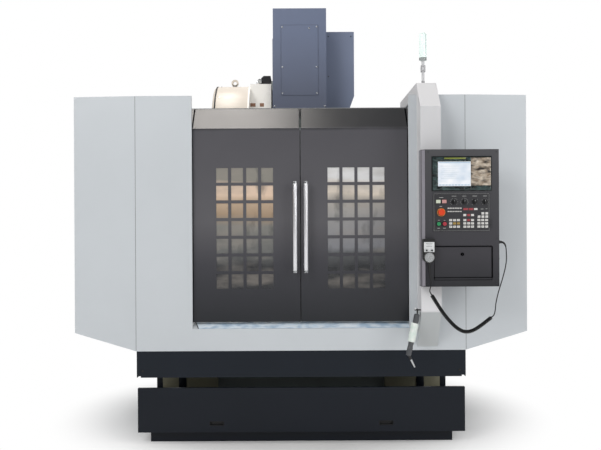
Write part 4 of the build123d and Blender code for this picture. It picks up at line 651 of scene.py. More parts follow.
class MachineLook(PropertyGroup):
    """Sizes and colours of the dressing."""
    screw: distance("Screw radius", "Radius of the cover screws", 5.0 * MM, 1.0 * MM)
    cord_diameter: distance("Cord diameter", "Thickness of the handwheel's cord", 5.5 * MM, 2.0 * MM)
    curl_radius: distance("Curl radius", "Outside radius of the curls", 10.3 * MM, 4.0 * MM)
    curl_pitch: distance("Curl pitch", "Distance from one curl to the next", 5.7 * MM, 3.0 * MM)
    dial_marks: IntProperty(
        name="Dial marks", description="Marks round the handwheel", default=50, min=10, max=100,
    )
    floor_colour: FloatVectorProperty(
        name="Floor", description="Colour of the floor under the machine", default=(0.9, 0.9, 0.9),
        min=0.0, max=1.0, size=3, subtype="COLOR",
    )
    eye_height: distance("Eye height", "Height of the camera over the floor", 1.2, 0.1)
    eye_distance: distance("Eye distance", "From the front panels to the camera", 4.592, 1.0)


def look():
    """The scene's own values for the dressing."""
    return bpy.context.scene.machine_look


class MACHINE_OT_paints(Operator):
    """Make every finish."""
    bl_idname = "machine.paints"
    bl_label = "Finishes"

    def execute(self, context):
        mix_paints()
        return {"FINISHED"}


class MACHINE_OT_enclosure(Operator):
    """Finish the folded panels, the sill, the skirt and the rail."""
    bl_idname = "machine.enclosure"
    bl_label = "Enclosure"

    def execute(self, context):
        dress("front_panel_left front_panel_right rear_panel front_sill", "panel")
        dress("side_panel_left side_panel_right", "side")
        dress("base_skirt", "base")
        dress("chip_tray", "zinc")
        dress("door_rail", "rail")
        dress("pendant_column", "pillar", 2.0, 3)
        self.seams()
        self.sill_film()
        self.channels()
        self.panel_screws()
        return {"FINISHED"}

    def seams(self):
        """Dark joints where the front panels fold back."""
        joints = bmesh.new()
        fold_x, half = 0.908, 0.0009
        for x in (-fold_x, fold_x):
            plate(joints, (x - half, x + half), (0.512, 1.912), front_y, 0.0003)
        settle("panel_seams", joints, "gasket", "frame")

    def sill_film(self):
        """Creased film on the slope of the sill, with its corner lifted at the left and a dark strip of
        painted shade along its left edge.
        """
        low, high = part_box("front_sill")
        start, end = Vector((0, front_y, 0.6305)), Vector((0, front_y + 0.0595, 0.6647))
        up = (end - start).cross(Vector(LEFT)).normalized()
        left, right = low[0] + 0.034, high[0] - 0.004
        columns, rows, slanted = 300, 10, 12

        def on_slope(x, share, lift):
            spot = start.lerp(end, share)
            return Vector((x, spot.y, spot.z)) + up * lift

        def corner(i, j):
            v = j / rows
            x = left + (right - left) * i / columns
            x -= 0.024 * v * max(0.0, 1 - i / slanted)
            crease = crumple((x * 22, v * 2.4, 1.7), (x * 61, v * 5, 4.1), 0.5)
            return on_slope(x, 0.02 + 0.96 * v, 0.0004 + 0.0012 * crease)

        sheet = bmesh.new()
        weave(sheet, columns, rows, corner)
        settle("sill_film", sheet, "sill_film", "frame")
        # Painted shade: a dark strip along the film's lifted left edge.
        fold = bmesh.new()
        corners = ((left - 0.004, 0.02), (left + 0.001, 0.02), (left - 0.022, 0.97), (left - 0.027, 0.97))
        fold.faces.new([fold.verts.new(on_slope(x, share, 0.0022)) for x, share in corners])
        settle("sill_film_edge_shade", fold, "dark_steel", "frame")

    def channels(self):
        """Primed channels from the skirt's posts to the bed's front, and screws near the skirt's ends."""
        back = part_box("bed")[0][1]
        posts = back - 0.028
        for side, way in SIDES:
            slab(
                f"{side}_channel", (way * 0.503, posts, 0.218), (way * 0.835, back, 0.300),
                "olive", "frame", 2.0,
            )
            slab(
                f"{side}_bracket", (way * 0.693, posts - 0.006, 0.216), (way * 0.738, posts + 0.001, 0.306),
                "base", "frame", 1.5,
            )
        screws("skirt_screws", "gasket", "frame", 6.0, 2.5, [
            ((x, front_y, 0.400), FRONT) for x in (-0.872, 0.872)
        ])

    def panel_screws(self):
        """Screws in the side panels, seen from either side, and along their roof flanges."""
        sides, roof = [], []
        for side, way in SIDES:
            low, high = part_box(f"side_panel_{side}")
            outer = high[0] if way > 0 else low[0]
            for row in range(5):
                z = low[2] + 0.16 + row * (high[2] - low[2] - 0.22) / 4
                sides += [((outer, y, z), (way, 0, 0)) for y in (low[1] + 0.06, high[1] - 0.05)]
            for row in range(4):
                y = low[1] + 0.1 + row * (high[1] - low[1] - 0.2) / 3
                roof.append(((outer - way * 0.03, y, high[2]), UP))
        screws("side_panel_screws", "steel", "frame", 5.0, 1.8, sides)
        screws("roof_flange_screws", "steel", "frame", 5.0, 3.0, roof)


class MACHINE_OT_doors(Operator):
    """Finish the doors, their glass and handles, with seals, rosettes and hangers."""
    bl_idname = "machine.doors"
    bl_label = "Doors"

    def execute(self, context):
        for side, way in SIDES:
            body = f"{side}_door"
            dress(body, "door")
            dress(f"{side}_glass", f"{side}_glass")
            dress(f"{side}_handle", "handle", 1.5, 3)
            low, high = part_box(body)
            self.handle_ends(side, body, low[1])
            self.seal_and_shadows(side, body, way, low, high)
            self.hangers(side, body, low, high)
            self.glass_strip(side, body)
        return {"FINISHED"}

    def handle_ends(self, side, body, front):
        """Rosettes under the handle's feet, and caps on its ends."""
        low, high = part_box(f"{side}_handle")
        x, foot, tube = middle(low, high)[0], 0.036, 0.0125
        rosettes, caps = bmesh.new(), bmesh.new()
        for z in (low[2] + foot, high[2] - foot):
            profile = [(0.0125, 0), (0.0125, 0.003), (0.0105, 0.0048), (0.0071, 0.005)]
            lathe(rosettes, profile, (x, front, z), FRONT, 36)
        for z, up in ((low[2], -1), (high[2], 1)):
            profile = [(0.0126, -0.012), (0.0128, -0.001), (0.0118, 0.0), (0, 0.0)]
            lathe(caps, profile, (x, low[1] + tube, z), (0, 0, up), 36)
        settle(f"{side}_handle_rosettes", rosettes, "handle", body)
        settle(f"{side}_handle_caps", caps, "steel", body)

    def seal_and_shadows(self, side, body, way, low, high):
        """The seal on the door's closing edge, and painted shadow: dark bands up its front and over the
        header, where the gaps at its edges lie in shade.
        """
        front = low[1]
        inner, outer = (high[0], low[0]) if way < 0 else (low[0], high[0])
        slab(
            f"{side}_door_seal", (inner, front + 0.004, low[2] + 0.002),
            (inner - way * 0.0018, front + 0.025, 1.725), "gasket", body, 0.6,
        )
        # Painted shadow: a dark band over the header at the closing edge, and one up the front and over the
        # header near the outer edge, where the door sits in shade behind the wing.
        strips = bmesh.new()
        bend = Vector((0, front, 1.736))
        slope, out = Vector((0, 0.125, 0.125)), Vector((0, -1, 1)).normalized()
        strip, width = outer - way * 0.0115, way * -0.008
        for edge, wide in ((inner, way * 0.004), (strip, width)):
            sheet = [
                strips.verts.new(bend + slope * share + Vector((x, 0, 0)) + lift)
                for lift in (out * 0.0006, out * -0.001)
                for share, x in ((0.02, edge), (0.985, edge), (0.985, edge + wide), (0.02, edge + wide))
            ]
            strips.faces.new(sheet[:4])
            for k in range(4):
                m = (k + 1) % 4
                strips.faces.new([sheet[k], sheet[m], sheet[4 + m], sheet[4 + k]])
        plate(strips, (strip, strip + width), (low[2] + 0.004, 1.734), front, 0.0006)
        settle(f"{side}_header_shadows", strips, "neoprene", body)

    def hangers(self, side, body, low, high):
        """Hanger plates where the door hangs on its rail."""
        rail_low, rail_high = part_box("door_rail")
        face, top = rail_low[1], rail_high[2]
        half, thick = 0.03, 0.0005
        plates = bmesh.new()
        for x in (low[0] + 0.1, high[0] - 0.1):
            block(plates, (x - half, face - thick, top - 0.045), (x + half, face + thick, top - 0.005), 0.3)
        settle(f"{side}_door_hangers", plates, "steel", body)

    def glass_strip(self, side, body):
        """The rubber strip that holds the glass from behind."""
        low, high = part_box(f"{side}_glass")
        edge, back = 0.014, high[1]
        rubber = bmesh.new()
        for z in (low[2], high[2] - edge):
            block(rubber, (low[0], back, z), (high[0], back + 0.008, z + edge))
        for x in (low[0], high[0] - edge):
            block(rubber, (x, back, low[2]), (x + edge, back + 0.008, high[2]))
        settle(f"{side}_glass_strip", rubber, "gasket", body)


class MACHINE_OT_tank(Operator):
    """Finish the coolant tank, with lined hand pulls."""
    bl_idname = "machine.tank"
    bl_label = "Coolant tank"

    def execute(self, context):
        dress("coolant_tank", "tank", 1.5)
        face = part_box("coolant_tank")[0][1] + 0.0006
        back = face + 0.014
        half, rise, wall, z = 0.039, 0.012, 0.0025, 0.110
        pulls = bmesh.new()
        foot, top = z - rise, z + rise
        for x in (-0.466, 0.466):
            left, right = x - half, x + half
            for low, high in (
                ((left, face, top - wall), (right, back, top)),
                ((left, face, foot), (right, back, foot + wall)),
                ((left, face, foot), (left + wall, back, top)),
                ((right - wall, face, foot), (right, back, top)),
                ((left, back - 0.001, foot), (right, back + 0.0012, top)),
            ):
                block(pulls, low, high, 0.6)
        settle("tank_pull_liners", pulls, "gasket", "frame")
        return {"FINISHED"}


class MACHINE_OT_head(Operator):
    """Finish the head, its cover and duct, with screws, the hatch's joint and the eyebolt."""
    bl_idname = "machine.head"
    bl_label = "Head"

    def execute(self, context):
        dress("headstock", "casting", 1.5)
        dress("head_cover", "hood")
        dress("cable_duct", "duct")
        dress("spindle_motor", "motor", 2.0)
        dress("spindle", "steel", 0.4)
        low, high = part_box("head_cover")
        front = low[1]
        hatch_x, hatch_low, hatch_high, half = 0.115, 2.008, 2.444, 0.001
        joint = bmesh.new()
        for x in (-hatch_x, hatch_x):
            plate(joint, (x - half, x + half), (hatch_low, hatch_high), front, 0.0003)
        for z in (hatch_low, hatch_high):
            plate(joint, (-hatch_x, hatch_x), (z - half, z + half), front, 0.0003)
        settle("hatch_joint", joint, "joint", "head")
        # The two screws beside the hatch sit 2 mm deeper.
        screws("hatch_screws", "steel", "head", look().screw / MM, 2.0, [
            ((x, front + (0.002 if abs(x) > hatch_x else 0), z), FRONT) for x, z in (
                (-0.107, 2.432), (0.107, 2.432), (0.060, 2.424), (-0.107, 2.183), (0.107, 2.183),
                (-0.107, 2.020), (0.107, 2.020), (-0.155, 1.940), (0.155, 1.940),
            )
        ])
        eyebolt("head_eyebolt", (middle(low, high)[0] + 0.0015, front + 0.267, high[2] - 0.049), "head")
        low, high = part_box("cable_duct")
        left, right, top = low[0] + 0.02, high[0] - 0.02, high[2] - 0.03
        screws("duct_screws", "dark_steel", "head", 4.0, 2.0, [
            ((x, low[1], z), FRONT)
            for x, z in ((left, low[2] + 0.06), (left, middle(low, high)[2]), (left, top), (right, top))
        ])
        return {"FINISHED"}


# The drum and the spindle share this place from front to back
SPINDLE_Y = -0.0755


class MACHINE_OT_magazine(Operator):
    """Finish the tool magazine, with its rim seal, slots, screws and eyebolt."""
    bl_idname = "machine.magazine"
    bl_label = "Tool magazine"

    def execute(self, context):
        dress("magazine_housing", "drum", 1.5)
        dress("carousel", "aluminium")
        dress("tool_arm", "steel", 1.0)
        dress("arm_shaft", "steel", 0.5)
        centre_z, rim_x = 1.740, -0.523
        radius = centre_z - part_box("magazine_housing")[0][2]
        turned(
            "drum_rim_seal", "gasket", "frame", (rim_x + 0.004, SPINDLE_Y, centre_z), RIGHT, 96,
            (radius - 0.004, -0.0045), (radius + 0.0014, -0.004), (radius + 0.0014, 0.005),
            (radius - 0.004, 0.0055),
        )
        hub = Vector((rim_x + 0.03, SPINDLE_Y, centre_z))
        ways = [Vector((0, cos(a), sin(a))) for a in (tau * (i + 0.5) / 12 for i in range(12))]
        screws("drum_screws", "steel", "frame", 4.0, 2.5, [(hub + out * radius, out) for out in ways])
        slots = bmesh.new()
        face = SPINDLE_Y - 0.130
        for x, half in ((-0.294, 0.016), (-0.238, 0.013)):
            block(slots, (x - half, face - 0.0012, 1.943), (x + half, face + 0.001, 1.965), 6.0, 3)
        settle("gearbox_slots", slots, "oxide", "frame")
        eyebolt("drum_eyebolt", (-0.415, SPINDLE_Y, centre_z + radius), "frame")
        return {"FINISHED"}


class MACHINE_OT_drives(Operator):
    """Finish the motors and screws, with fins and plugs on the motors."""
    bl_idname = "machine.drives"
    bl_label = "Drives"

    def execute(self, context):
        dress("servo_motors", "motor", 1.5)
        dress("y_ballscrew x_ballscrew z_ballscrew", "steel", 0.5)
        motor_y, half, foot = 0.3995, 0.0595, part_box("column")[1][2]
        fins, pitch, thick = bmesh.new(), 0.02, 0.006
        for row in range(1, 8):
            level = foot + row * pitch
            block(fins, (-half, motor_y - half, level), (half, motor_y + half, level + thick), 1.5)
        settle("z_motor_fins", fins, "motor", "frame")
        turned(
            "z_motor_plug", "steel", "frame", (0.058, motor_y, foot + 0.165), RIGHT, 36,
            (0.014, 0), (0.014, 0.012), (0.0165, 0.013), (0.0165, 0.026), (0.0145, 0.028), (0.009, 0.03),
            (0, 0.03),
        )
        arm_motor_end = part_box("servo_motors")[0][0] + 0.024
        turned(
            "arm_motor_plug", "steel", "frame", (arm_motor_end, SPINDLE_Y - 0.045, 2.107), LEFT, 36,
            (0.0134, 0), (0.0134, 0.006), (0.0145, 0.0075), (0.0145, 0.016), (0.0136, 0.0175),
            (0.0136, 0.0235), (0.011, 0.024), (0, 0.024),
        )
        socket = bmesh.new()
        face, right = SPINDLE_Y - 0.090, -0.240
        profile = [(0.0095, 0), (0.0095, 0.010), (0.0108, 0.011), (0.0108, 0.021), (0.009, 0.022), (0, 0.022)]
        # The connector leans up to the left.
        lathe(socket, profile, (right, face - 0.006, 2.108), (-0.9, 0, 0.35), 28)
        block(socket, (-0.264, face - 0.012, 2.094), (right, face + 0.001, 2.124), 4.0, 3)
        settle("arm_motor_socket", socket, "aluminium", "frame")
        return {"FINISHED"}


class MACHINE_OT_inside(Operator):
    """Finish the castings, the table and the way covers."""
    bl_idname = "machine.inside"
    bl_label = "Castings and slides"

    def execute(self, context):
        dress("bed column", "casting", 2.0)
        dress("saddle", "casting", 1.0)
        dress("table", "ways", 0.6)
        dress("way_cover", "zinc", 0.5)
        dress("leveling_feet", "dark_steel", 0.8)
        nozzles = bmesh.new()
        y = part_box("headstock")[0][1] + 0.055
        profile = [(0.009, 0), (0.009, 0.02), (0.006, 0.03), (0.006, 0.045), (0.004, 0.05), (0, 0.05)]
        for x in (-0.07, 0.07):
            lathe(nozzles, profile, (x, y, 1.603), (0, 0.25, -1), 24)
        settle("coolant_nozzles", nozzles, "aluminium", "head")
        return {"FINISHED"}


class MACHINE_OT_cabinet(Operator):
    """Finish the electrical cabinet, with a turning latch."""
    bl_idname = "machine.cabinet"
    bl_label = "Electrical cabinet"

    def execute(self, context):
        dress("electrical_cabinet", "cabinet", 1.2)
        dress("cabinet_door", "cabinet", 1.5)
        low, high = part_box("cabinet_door")
        centre = (-0.44, high[1], middle(low, high)[2])
        turned(
            "cabinet_latch", "dark_steel", "cabinet_door", centre, BACK, 36,
            (0.0115, -0.002), (0.0115, 0.0), (0.010, 0.0), (0, 0.0),
        )
        return {"FINISHED"}


class MACHINE_OT_lamp(Operator):
    """Finish the signal lamp, with its bands, its folding joint and its flange."""
    bl_idname = "machine.lamp"
    bl_label = "Signal lamp"

    def execute(self, context):
        dress("signal_lamp", "lamp", 1.5, 3)
        low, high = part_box("signal_lamp")
        x, y, _ = middle(low, high)
        bands = bmesh.new()
        profile = [(0.0208, -0.0022), (0.0214, -0.0014), (0.0214, 0.0014), (0.0208, 0.0022)]
        for z in (low[2] + 0.004, low[2] + 0.012):
            lathe(bands, profile, (x, y, z), UP)
        settle("lamp_bands", bands, "grey", "frame")
        joint = bmesh.new()
        # Two cheeks, joined by two pins.
        half, front = 0.0025, y - 0.012
        for z in (2.056, 2.078):
            lathe(joint, [(0.0045, 0), (0.0045, 0.002), (0.003, 0.003), (0, 0.003)], (x, front, z), FRONT, 20)
        for cheek in (x - 0.0095, x + 0.0095):
            block(joint, (cheek - half, front, 2.048), (cheek + half, y + 0.012, 2.086), 1.2, 3)
        settle("lamp_joint", joint, "fog", "frame")
        flange = bmesh.new()
        base_z, thick, ring = 1.978, 0.0068, 0.019
        lathe(flange, [
            (0.0284, 0), (0.0284, 0.004), (0.026, thick), (0.0095, 0.0075), (0.0092, 0.02), (0.0081, 0.021),
        ], (x, y, base_z), UP)
        for a in angles(3):
            socket_screw(flange, (x + ring * cos(a), y + ring * sin(a), base_z + thick), UP, 2.6, 2.0)
        settle("lamp_flange", flange, "fog", "frame")
        return {"FINISHED"}


def nurbs(name, points, resolution, radius=0.0, sides=0, cyclic=False):
    """A curve of one NURBS spline with these control points, round where it has a radius."""
    data = bpy.data.curves.new(name, "CURVE")
    data.dimensions = "3D"
    data.bevel_depth = radius
    data.bevel_resolution = sides
    data.use_fill_caps = radius > 0
    line = data.splines.new("NURBS")
    line.points.add(len(points) - 1)
    for knot, point in zip(line.points, points):
        knot.co = (*point, 1)
    line.order_u = 3
    line.use_endpoint_u = not cyclic
    line.use_cyclic_u = cyclic
    line.resolution_u = resolution
    return bpy.data.objects.new(name, data)


class MACHINE_OT_air_gun(Operator):
    """Build the hanging air gun: cap, body, barrel, elbow, nozzle, lever and ring."""
    bl_idname = "machine.air_gun"
    bl_label = "Air gun"

    def execute(self, context):
        x, y, z = 0.622, -0.9755, 0.743
        # The ring hangs on the hook's sleeve.
        ring_radius, sleeve_radius, play, drop = 0.014, 0.0035, 0.0003, 0.0115
        ring_z = z + sleeve_radius + play - drop
        turned(
            "hook_sleeve", "gasket", "frame", (0.641, y, z), LEFT, 24,
            (0.0035, 0), (0.0037, 0.0006), (0.0037, 0.0330), (0.0030, 0.0334), (0, 0.0334),
        )
        top = Vector((x, y, ring_z - ring_radius))
        lean, turn = radians(12.5), radians(26)
        down = Vector((-sin(lean), 0, -cos(lean)))
        main = turned(
            "air_gun_cap", "grey", "frame", top, down, 40,
            (0.009, 0), (0.0145, 0.003), (0.0158, 0.008), (0.0158, 0.044), (0.0145, 0.047), (0.0145, 0.052),
        )
        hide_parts("air_gun")
        turned(
            "air_gun_body", "gun", "frame", top, down, 48,
            (0.0150, 0.050), (0.0188, 0.054), (0.0197, 0.060), (0.0197, 0.078), (0.0186, 0.081),
            (0.0186, 0.098), (0.0197, 0.101), (0.0197, 0.146), (0.0185, 0.151), (0.0150, 0.1525),
        )
        turned(
            "air_gun_barrel", "grey", "frame", top, down, 40,
            (0.0148, 0.1515), (0.0148, 0.165), (0.0135, 0.167), (0.0135, 0.180), (0.0148, 0.182),
            (0.0148, 0.222), (0.0125, 0.227), (0, 0.227),
        )
        bend = top + down * 0.222
        out = Vector((sin(turn), 0, -cos(turn)))
        turned(
            "air_gun_elbow", "black", "frame", bend, out, 32,
            (0.008, -0.004), (0.0085, 0.006), (0.0072, 0.010), (0.0072, 0.028), (0.006, 0.030), (0, 0.030),
        )
        turned(
            "air_gun_nozzle", "aluminium", "frame", bend, out, 32,
            (0.0062, 0.028), (0.0064, 0.036), (0.0058, 0.038), (0.0058, 0.062), (0.0048, 0.067),
            (0.0042, 0.0755), (0.0018, 0.0758), (0, 0.070),
        )
        ring = [(x, y + ring_radius * cos(a), ring_z + ring_radius * sin(a)) for a in angles(16)]
        show(nurbs("air_gun_ring", ring, 6, 0.0020, 5, cyclic=True), "gasket", "frame")
        lever = bmesh.new()
        side, half = Vector((cos(lean), 0, -sin(lean))), Vector((0.0028, 0.006, 0.0095))
        start = top + down * 0.060 - side * 0.0155
        # Five overlapping blocks follow the leaning body.
        for step in range(5):
            here = start + down * 0.016 * step + side * (-0.0016)
            block(lever, here - half, here + half, 1.2)
        settle("air_gun_lever", lever, "gun", "frame")
        return {"FINISHED"}


# Control points of the handwheel's cord in metres: right, in front of the panels, up

curl_route = [
    (0.673, 0.290, 0.838),
    (0.700, 0.291, 0.792),
    (0.737, 0.293, 0.735),
    (0.778, 0.295, 0.687),
    (0.815, 0.296, 0.655),
    (0.853, 0.297, 0.643),
    (0.893, 0.296, 0.655),
    (0.940, 0.293, 0.687),
    (0.984, 0.290, 0.721),
]
lead_route = [
    (0.6647, 0.280, 0.988),
    (0.6647, 0.280, 0.966),
    (0.668, 0.284, 0.933),
    (0.673, 0.288, 0.897),
    (0.6685, 0.290, 0.874),
    (0.662878, 0.289625, 0.855245),
]
tail_route = [
    (0.995852, 0.289192, 0.730158),
    (1.002, 0.289, 0.755),
    (1.005, 0.287, 0.790),
    (1.017, 0.281, 0.838),
    (1.038, 0.268, 0.893),
    (1.062, 0.246, 0.955),
    (1.077, 0.228, 1.010),
    (1.078, 0.217, 1.053),
    (1.0775, 0.213, 1.078),
    (1.072, 0.210, 1.0955),
    (1.060, 0.210, 1.105),
    (1.045, 0.210, 1.105),
]


def placed(route):
    """The route's points in the model's frame."""
    return [Vector((x, front_y - reach, z)) for x, reach, z in route]


def follow(points, resolution=16):
    """Points on the route's spline, as Blender gives them for a curve with no bevel."""
    carrier = nurbs("route", points, resolution)
    mesh = bpy.data.meshes.new_from_object(carrier)
    line = [vertex.co.copy() for vertex in mesh.vertices]
    data = carrier.data
    bpy.data.objects.remove(carrier)
    bpy.data.curves.remove(data)
    bpy.data.meshes.remove(mesh)
    return line


def reach_along(line):
    """Distance from the start to each point of a line."""
    total = [0.0]
    for a, b in zip(line, line[1:]):
        total.append(total[-1] + (b - a).length)
    return total


def curls(points, radius, pitch):
    """Helix about a route. It grows from nothing over its first 1.2 turns, and shrinks so at its end."""
    per_turn, growing = 14, 1.2
    line = follow(points)
    total = reach_along(line)
    turns = round(total[-1] / pitch)
    across = (line[1] - line[0]).orthogonal().normalized()
    helix = []
    at = 0
    count = turns * per_turn
    for i in range(count + 1):
        s = total[-1] * i / count
        while at < len(line) - 2 and total[at + 1] < s:
            at += 1
        step = line[at + 1] - line[at]
        along = step.normalized()
        across = (across - along * across.dot(along)).normalized()
        centre = line[at] + step * ((s - total[at]) / max(step.length, 1e-9))
        ramp = min(1.0, min(s, total[-1] - s) / (growing * pitch))
        ramp = ramp * ramp * (3 - 2 * ramp)
        turn = tau * turns * i / count
        helix.append(centre + (across * cos(turn) + along.cross(across) * sin(turn)) * radius * ramp)
    return helix


class MACHINE_OT_cord(Operator):
    """Hang the handwheel's curly cord from its gland to the socket on the pendant's side."""
    bl_idname = "machine.cord"
    bl_label = "Handwheel cord"

    def execute(self, context):
        thick = look().cord_diameter
        points = placed(lead_route)
        points += curls(placed(curl_route), look().curl_radius - thick / 2, look().curl_pitch)
        points += placed(tail_route)
        cord = nurbs("handwheel_cord", points, 3, thick / 2, 3)
        show(cord, "sheath", "pendant")
        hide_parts("cord_lead", "cord_coil", "cord_tail")
        reach_along(follow(points, 3))[-1]
        self.boot("cord_boot", follow(placed(lead_route)), thick / 2, 0.088, 0.0074)
        self.boot("tail_boot", follow(placed(tail_route))[::-1], thick / 2, 0.044, 0.0072)
        self.sleeves(points[0], points[-1], thick / 2)
        return {"FINISHED"}

    def sleeves(self, leave, enter, r):
        """Tapered sleeves where the cord leaves the gland and enters the socket."""
        rubber = bmesh.new()
        gland = [(r + 0.0035, -0.004), (r + 0.0035, 0.002)]
        for rib in range(6):
            h = 0.003 + rib * 0.0045
            wide = r + 0.0030 - rib * 0.0004
            gland += [(wide, h), (wide, h + 0.0024), (wide - 0.0012, h + 0.003), (wide - 0.0012, h + 0.0042)]
        gland += [(r + 0.0002, 0.031)]
        lathe(rubber, gland, leave, DOWN, 28)
        plug = [
            (0.0098, -0.012), (0.0108, -0.010), (0.0108, -0.002), (0.0092, 0.0), (0.0070, 0.001),
            (0.0066, 0.008), (0.0050, 0.010), (r + 0.0004, 0.0155),
        ]
        lathe(rubber, plug, enter, RIGHT, 32)
        settle("cord_sleeves", rubber, "gasket", "pendant")

    def boot(self, name, line, thin, length, thick):
        """A tapered rubber boot on the first stretch of a line of the cord, ribbed along its length."""
        taper, groove, rib, play = 0.0034, 0.0007, 0.0035, 0.0003
        mesh = bmesh.new()
        rings = []
        across = Vector(RIGHT)
        for spot, ahead, s in zip(line, line[1:], reach_along(line)):
            if s > length:
                break
            along = (ahead - spot).normalized()
            across = (across - along * across.dot(along)).normalized()
            over = along.cross(across)
            radius = max(thick - taper * (s / length) - (groove if int(s / rib) % 2 else 0.0), thin + play)
            rings.append([
                mesh.verts.new(spot + (across * cos(a) + over * sin(a)) * radius) for a in angles(20)
            ])
        loft(mesh, rings)
        bmesh.ops.recalc_face_normals(mesh, faces=mesh.faces)
        settle(name, mesh, "gasket", "pendant")


def tick(mesh, x, z, angle, radius, length, y):
    """One radial mark of a scale."""
    half, proud = 0.00045, 0.0003
    out = Vector((cos(angle), 0, sin(angle)))
    side = Vector((-sin(angle), 0, cos(angle))) * half
    front = Vector((0, -proud, 0))
    corners = [
        Vector((x, y, z)) + out * reach + side * way for reach in (radius, radius + length) for way in (-1, 1)
    ]
    verts = [mesh.verts.new(corner + lift) for lift in (front, -front) for corner in corners]
    for face in ((0, 1, 3, 2), (4, 6, 7, 5), (0, 4, 5, 1), (2, 3, 7, 6), (0, 2, 6, 4), (1, 5, 7, 3)):
        mesh.faces.new([verts[i] for i in face])


class MACHINE_OT_pendant(Operator):
    """Finish the pendant's box, flap and side knob, with screws, a key lock and painted shadow round the
    flap.
    """
    bl_idname = "machine.pendant"
    bl_label = "Pendant"

    def execute(self, context):
        dress("pendant_box", "pendant", 1.8, 3)
        dress("compartment_door", "pendant", 1.0)
        self.corner()
        self.flap()
        low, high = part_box("pendant_box")
        side_x, y, knob_z, socket_z = 1.031, low[1] + 0.05, 1.019, 1.105
        knob = bmesh.new()
        ribs(
            knob, 14, 8, (side_x, y, knob_z), 0.0079, 1, RIGHT,
            (0.0012, 0.0015), (0.0012, 0.0100), (0, 0.0108),
        )
        lathe(knob, [(0.0088, 0), (0.0088, 0.0012), (0.0081, 0.0016)], (side_x, y, knob_z), RIGHT, 36)
        settle("side_knob_grip", knob, "black", "pendant")
        turned(
            "socket_nut", "steel", "pendant", (side_x, y, socket_z), RIGHT, 36,
            (0.0118, 0), (0.0118, 0.0024), (0.0108, 0.0032), (0.0091, 0.0034),
        )
        screws("pendant_screws", "dark_steel", "pendant", 3.0, 1.2, [
            ((x, low[1], z), FRONT) for x in (0.664, 1.018) for z in (high[2] - 0.014, 1.126, low[2] + 0.014)
        ])
        return {"FINISHED"}

    def flap(self):
        """The flap's lock with its keyway, and painted shadow on three of its sides, where the gap round the
        flap lies in shade.
        """
        low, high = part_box("compartment_door")
        front, x = low[1], 0.839
        turned(
            "flap_lock", "neoprene", "compartment_door", (x, front, 1.044), BACK, 32,
            (0.0084, 0.0036), (0.0084, -0.0006), (0.0076, -0.0012), (0.0062, -0.0012), (0.0056, -0.0004),
            (0, -0.0004),
        )
        left, right, top = low[0] + 0.0005, high[0] - 0.0005, high[2] - 0.0005
        # The strip starts above the flap's hinge line, so that it clears the box as the flap drops.
        foot = low[2] + (high[1] - low[1]) + 0.0005
        # Painted shadow: dark bands on the flap's face at its right, bottom and top edges.
        gap_shadow = bmesh.new()
        for start, up in (
            (right - 0.0050, (foot, top)), (left, (foot, foot + 0.0032)), (left, (top - 0.0025, top)),
        ):
            plate(gap_shadow, (start, right), up, front, 0.0004)
        settle("flap_gap_shadow", gap_shadow, "neoprene", "compartment_door")
        keyway = bmesh.new()
        plate(keyway, (x - 0.0008, x + 0.0008), (1.0396, 1.0484), front, 0.0008)
        settle("flap_keyway", keyway, "black", "compartment_door")

    def corner(self):
        """Paler strips on the chamfered corner and along the left side: painted light on the faces that catch
        the light from the left.
        """
        low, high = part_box("pendant_box")
        chamfer, proud = 0.019, 0.0004
        for name, coat, first, second in (
            ("pendant_corner", "corner", (chamfer - 0.002, 0.0), (0.002, chamfer - 0.004)),
            ("pendant_side", "edge", (0.0, chamfer + 0.002), (0.0, 0.090)),
        ):
            a, b = [Vector((low[0] + x, low[1] + y, 0)) for x, y in (first, second)]
            out = (b - a).cross(Vector(DOWN)).normalized()
            out = (out if out.x < 0 else -out) * proud
            strip = bmesh.new()
            loft(strip, [
                [strip.verts.new((spot.x, spot.y, z)) for spot in (a - out, b - out, b + out, a + out)]
                for z in (low[2] + 0.003, high[2] - 0.003)
            ])
            bmesh.ops.recalc_face_normals(strip, faces=strip.faces)
            settle(name, strip, coat, "pendant", smooth=False)


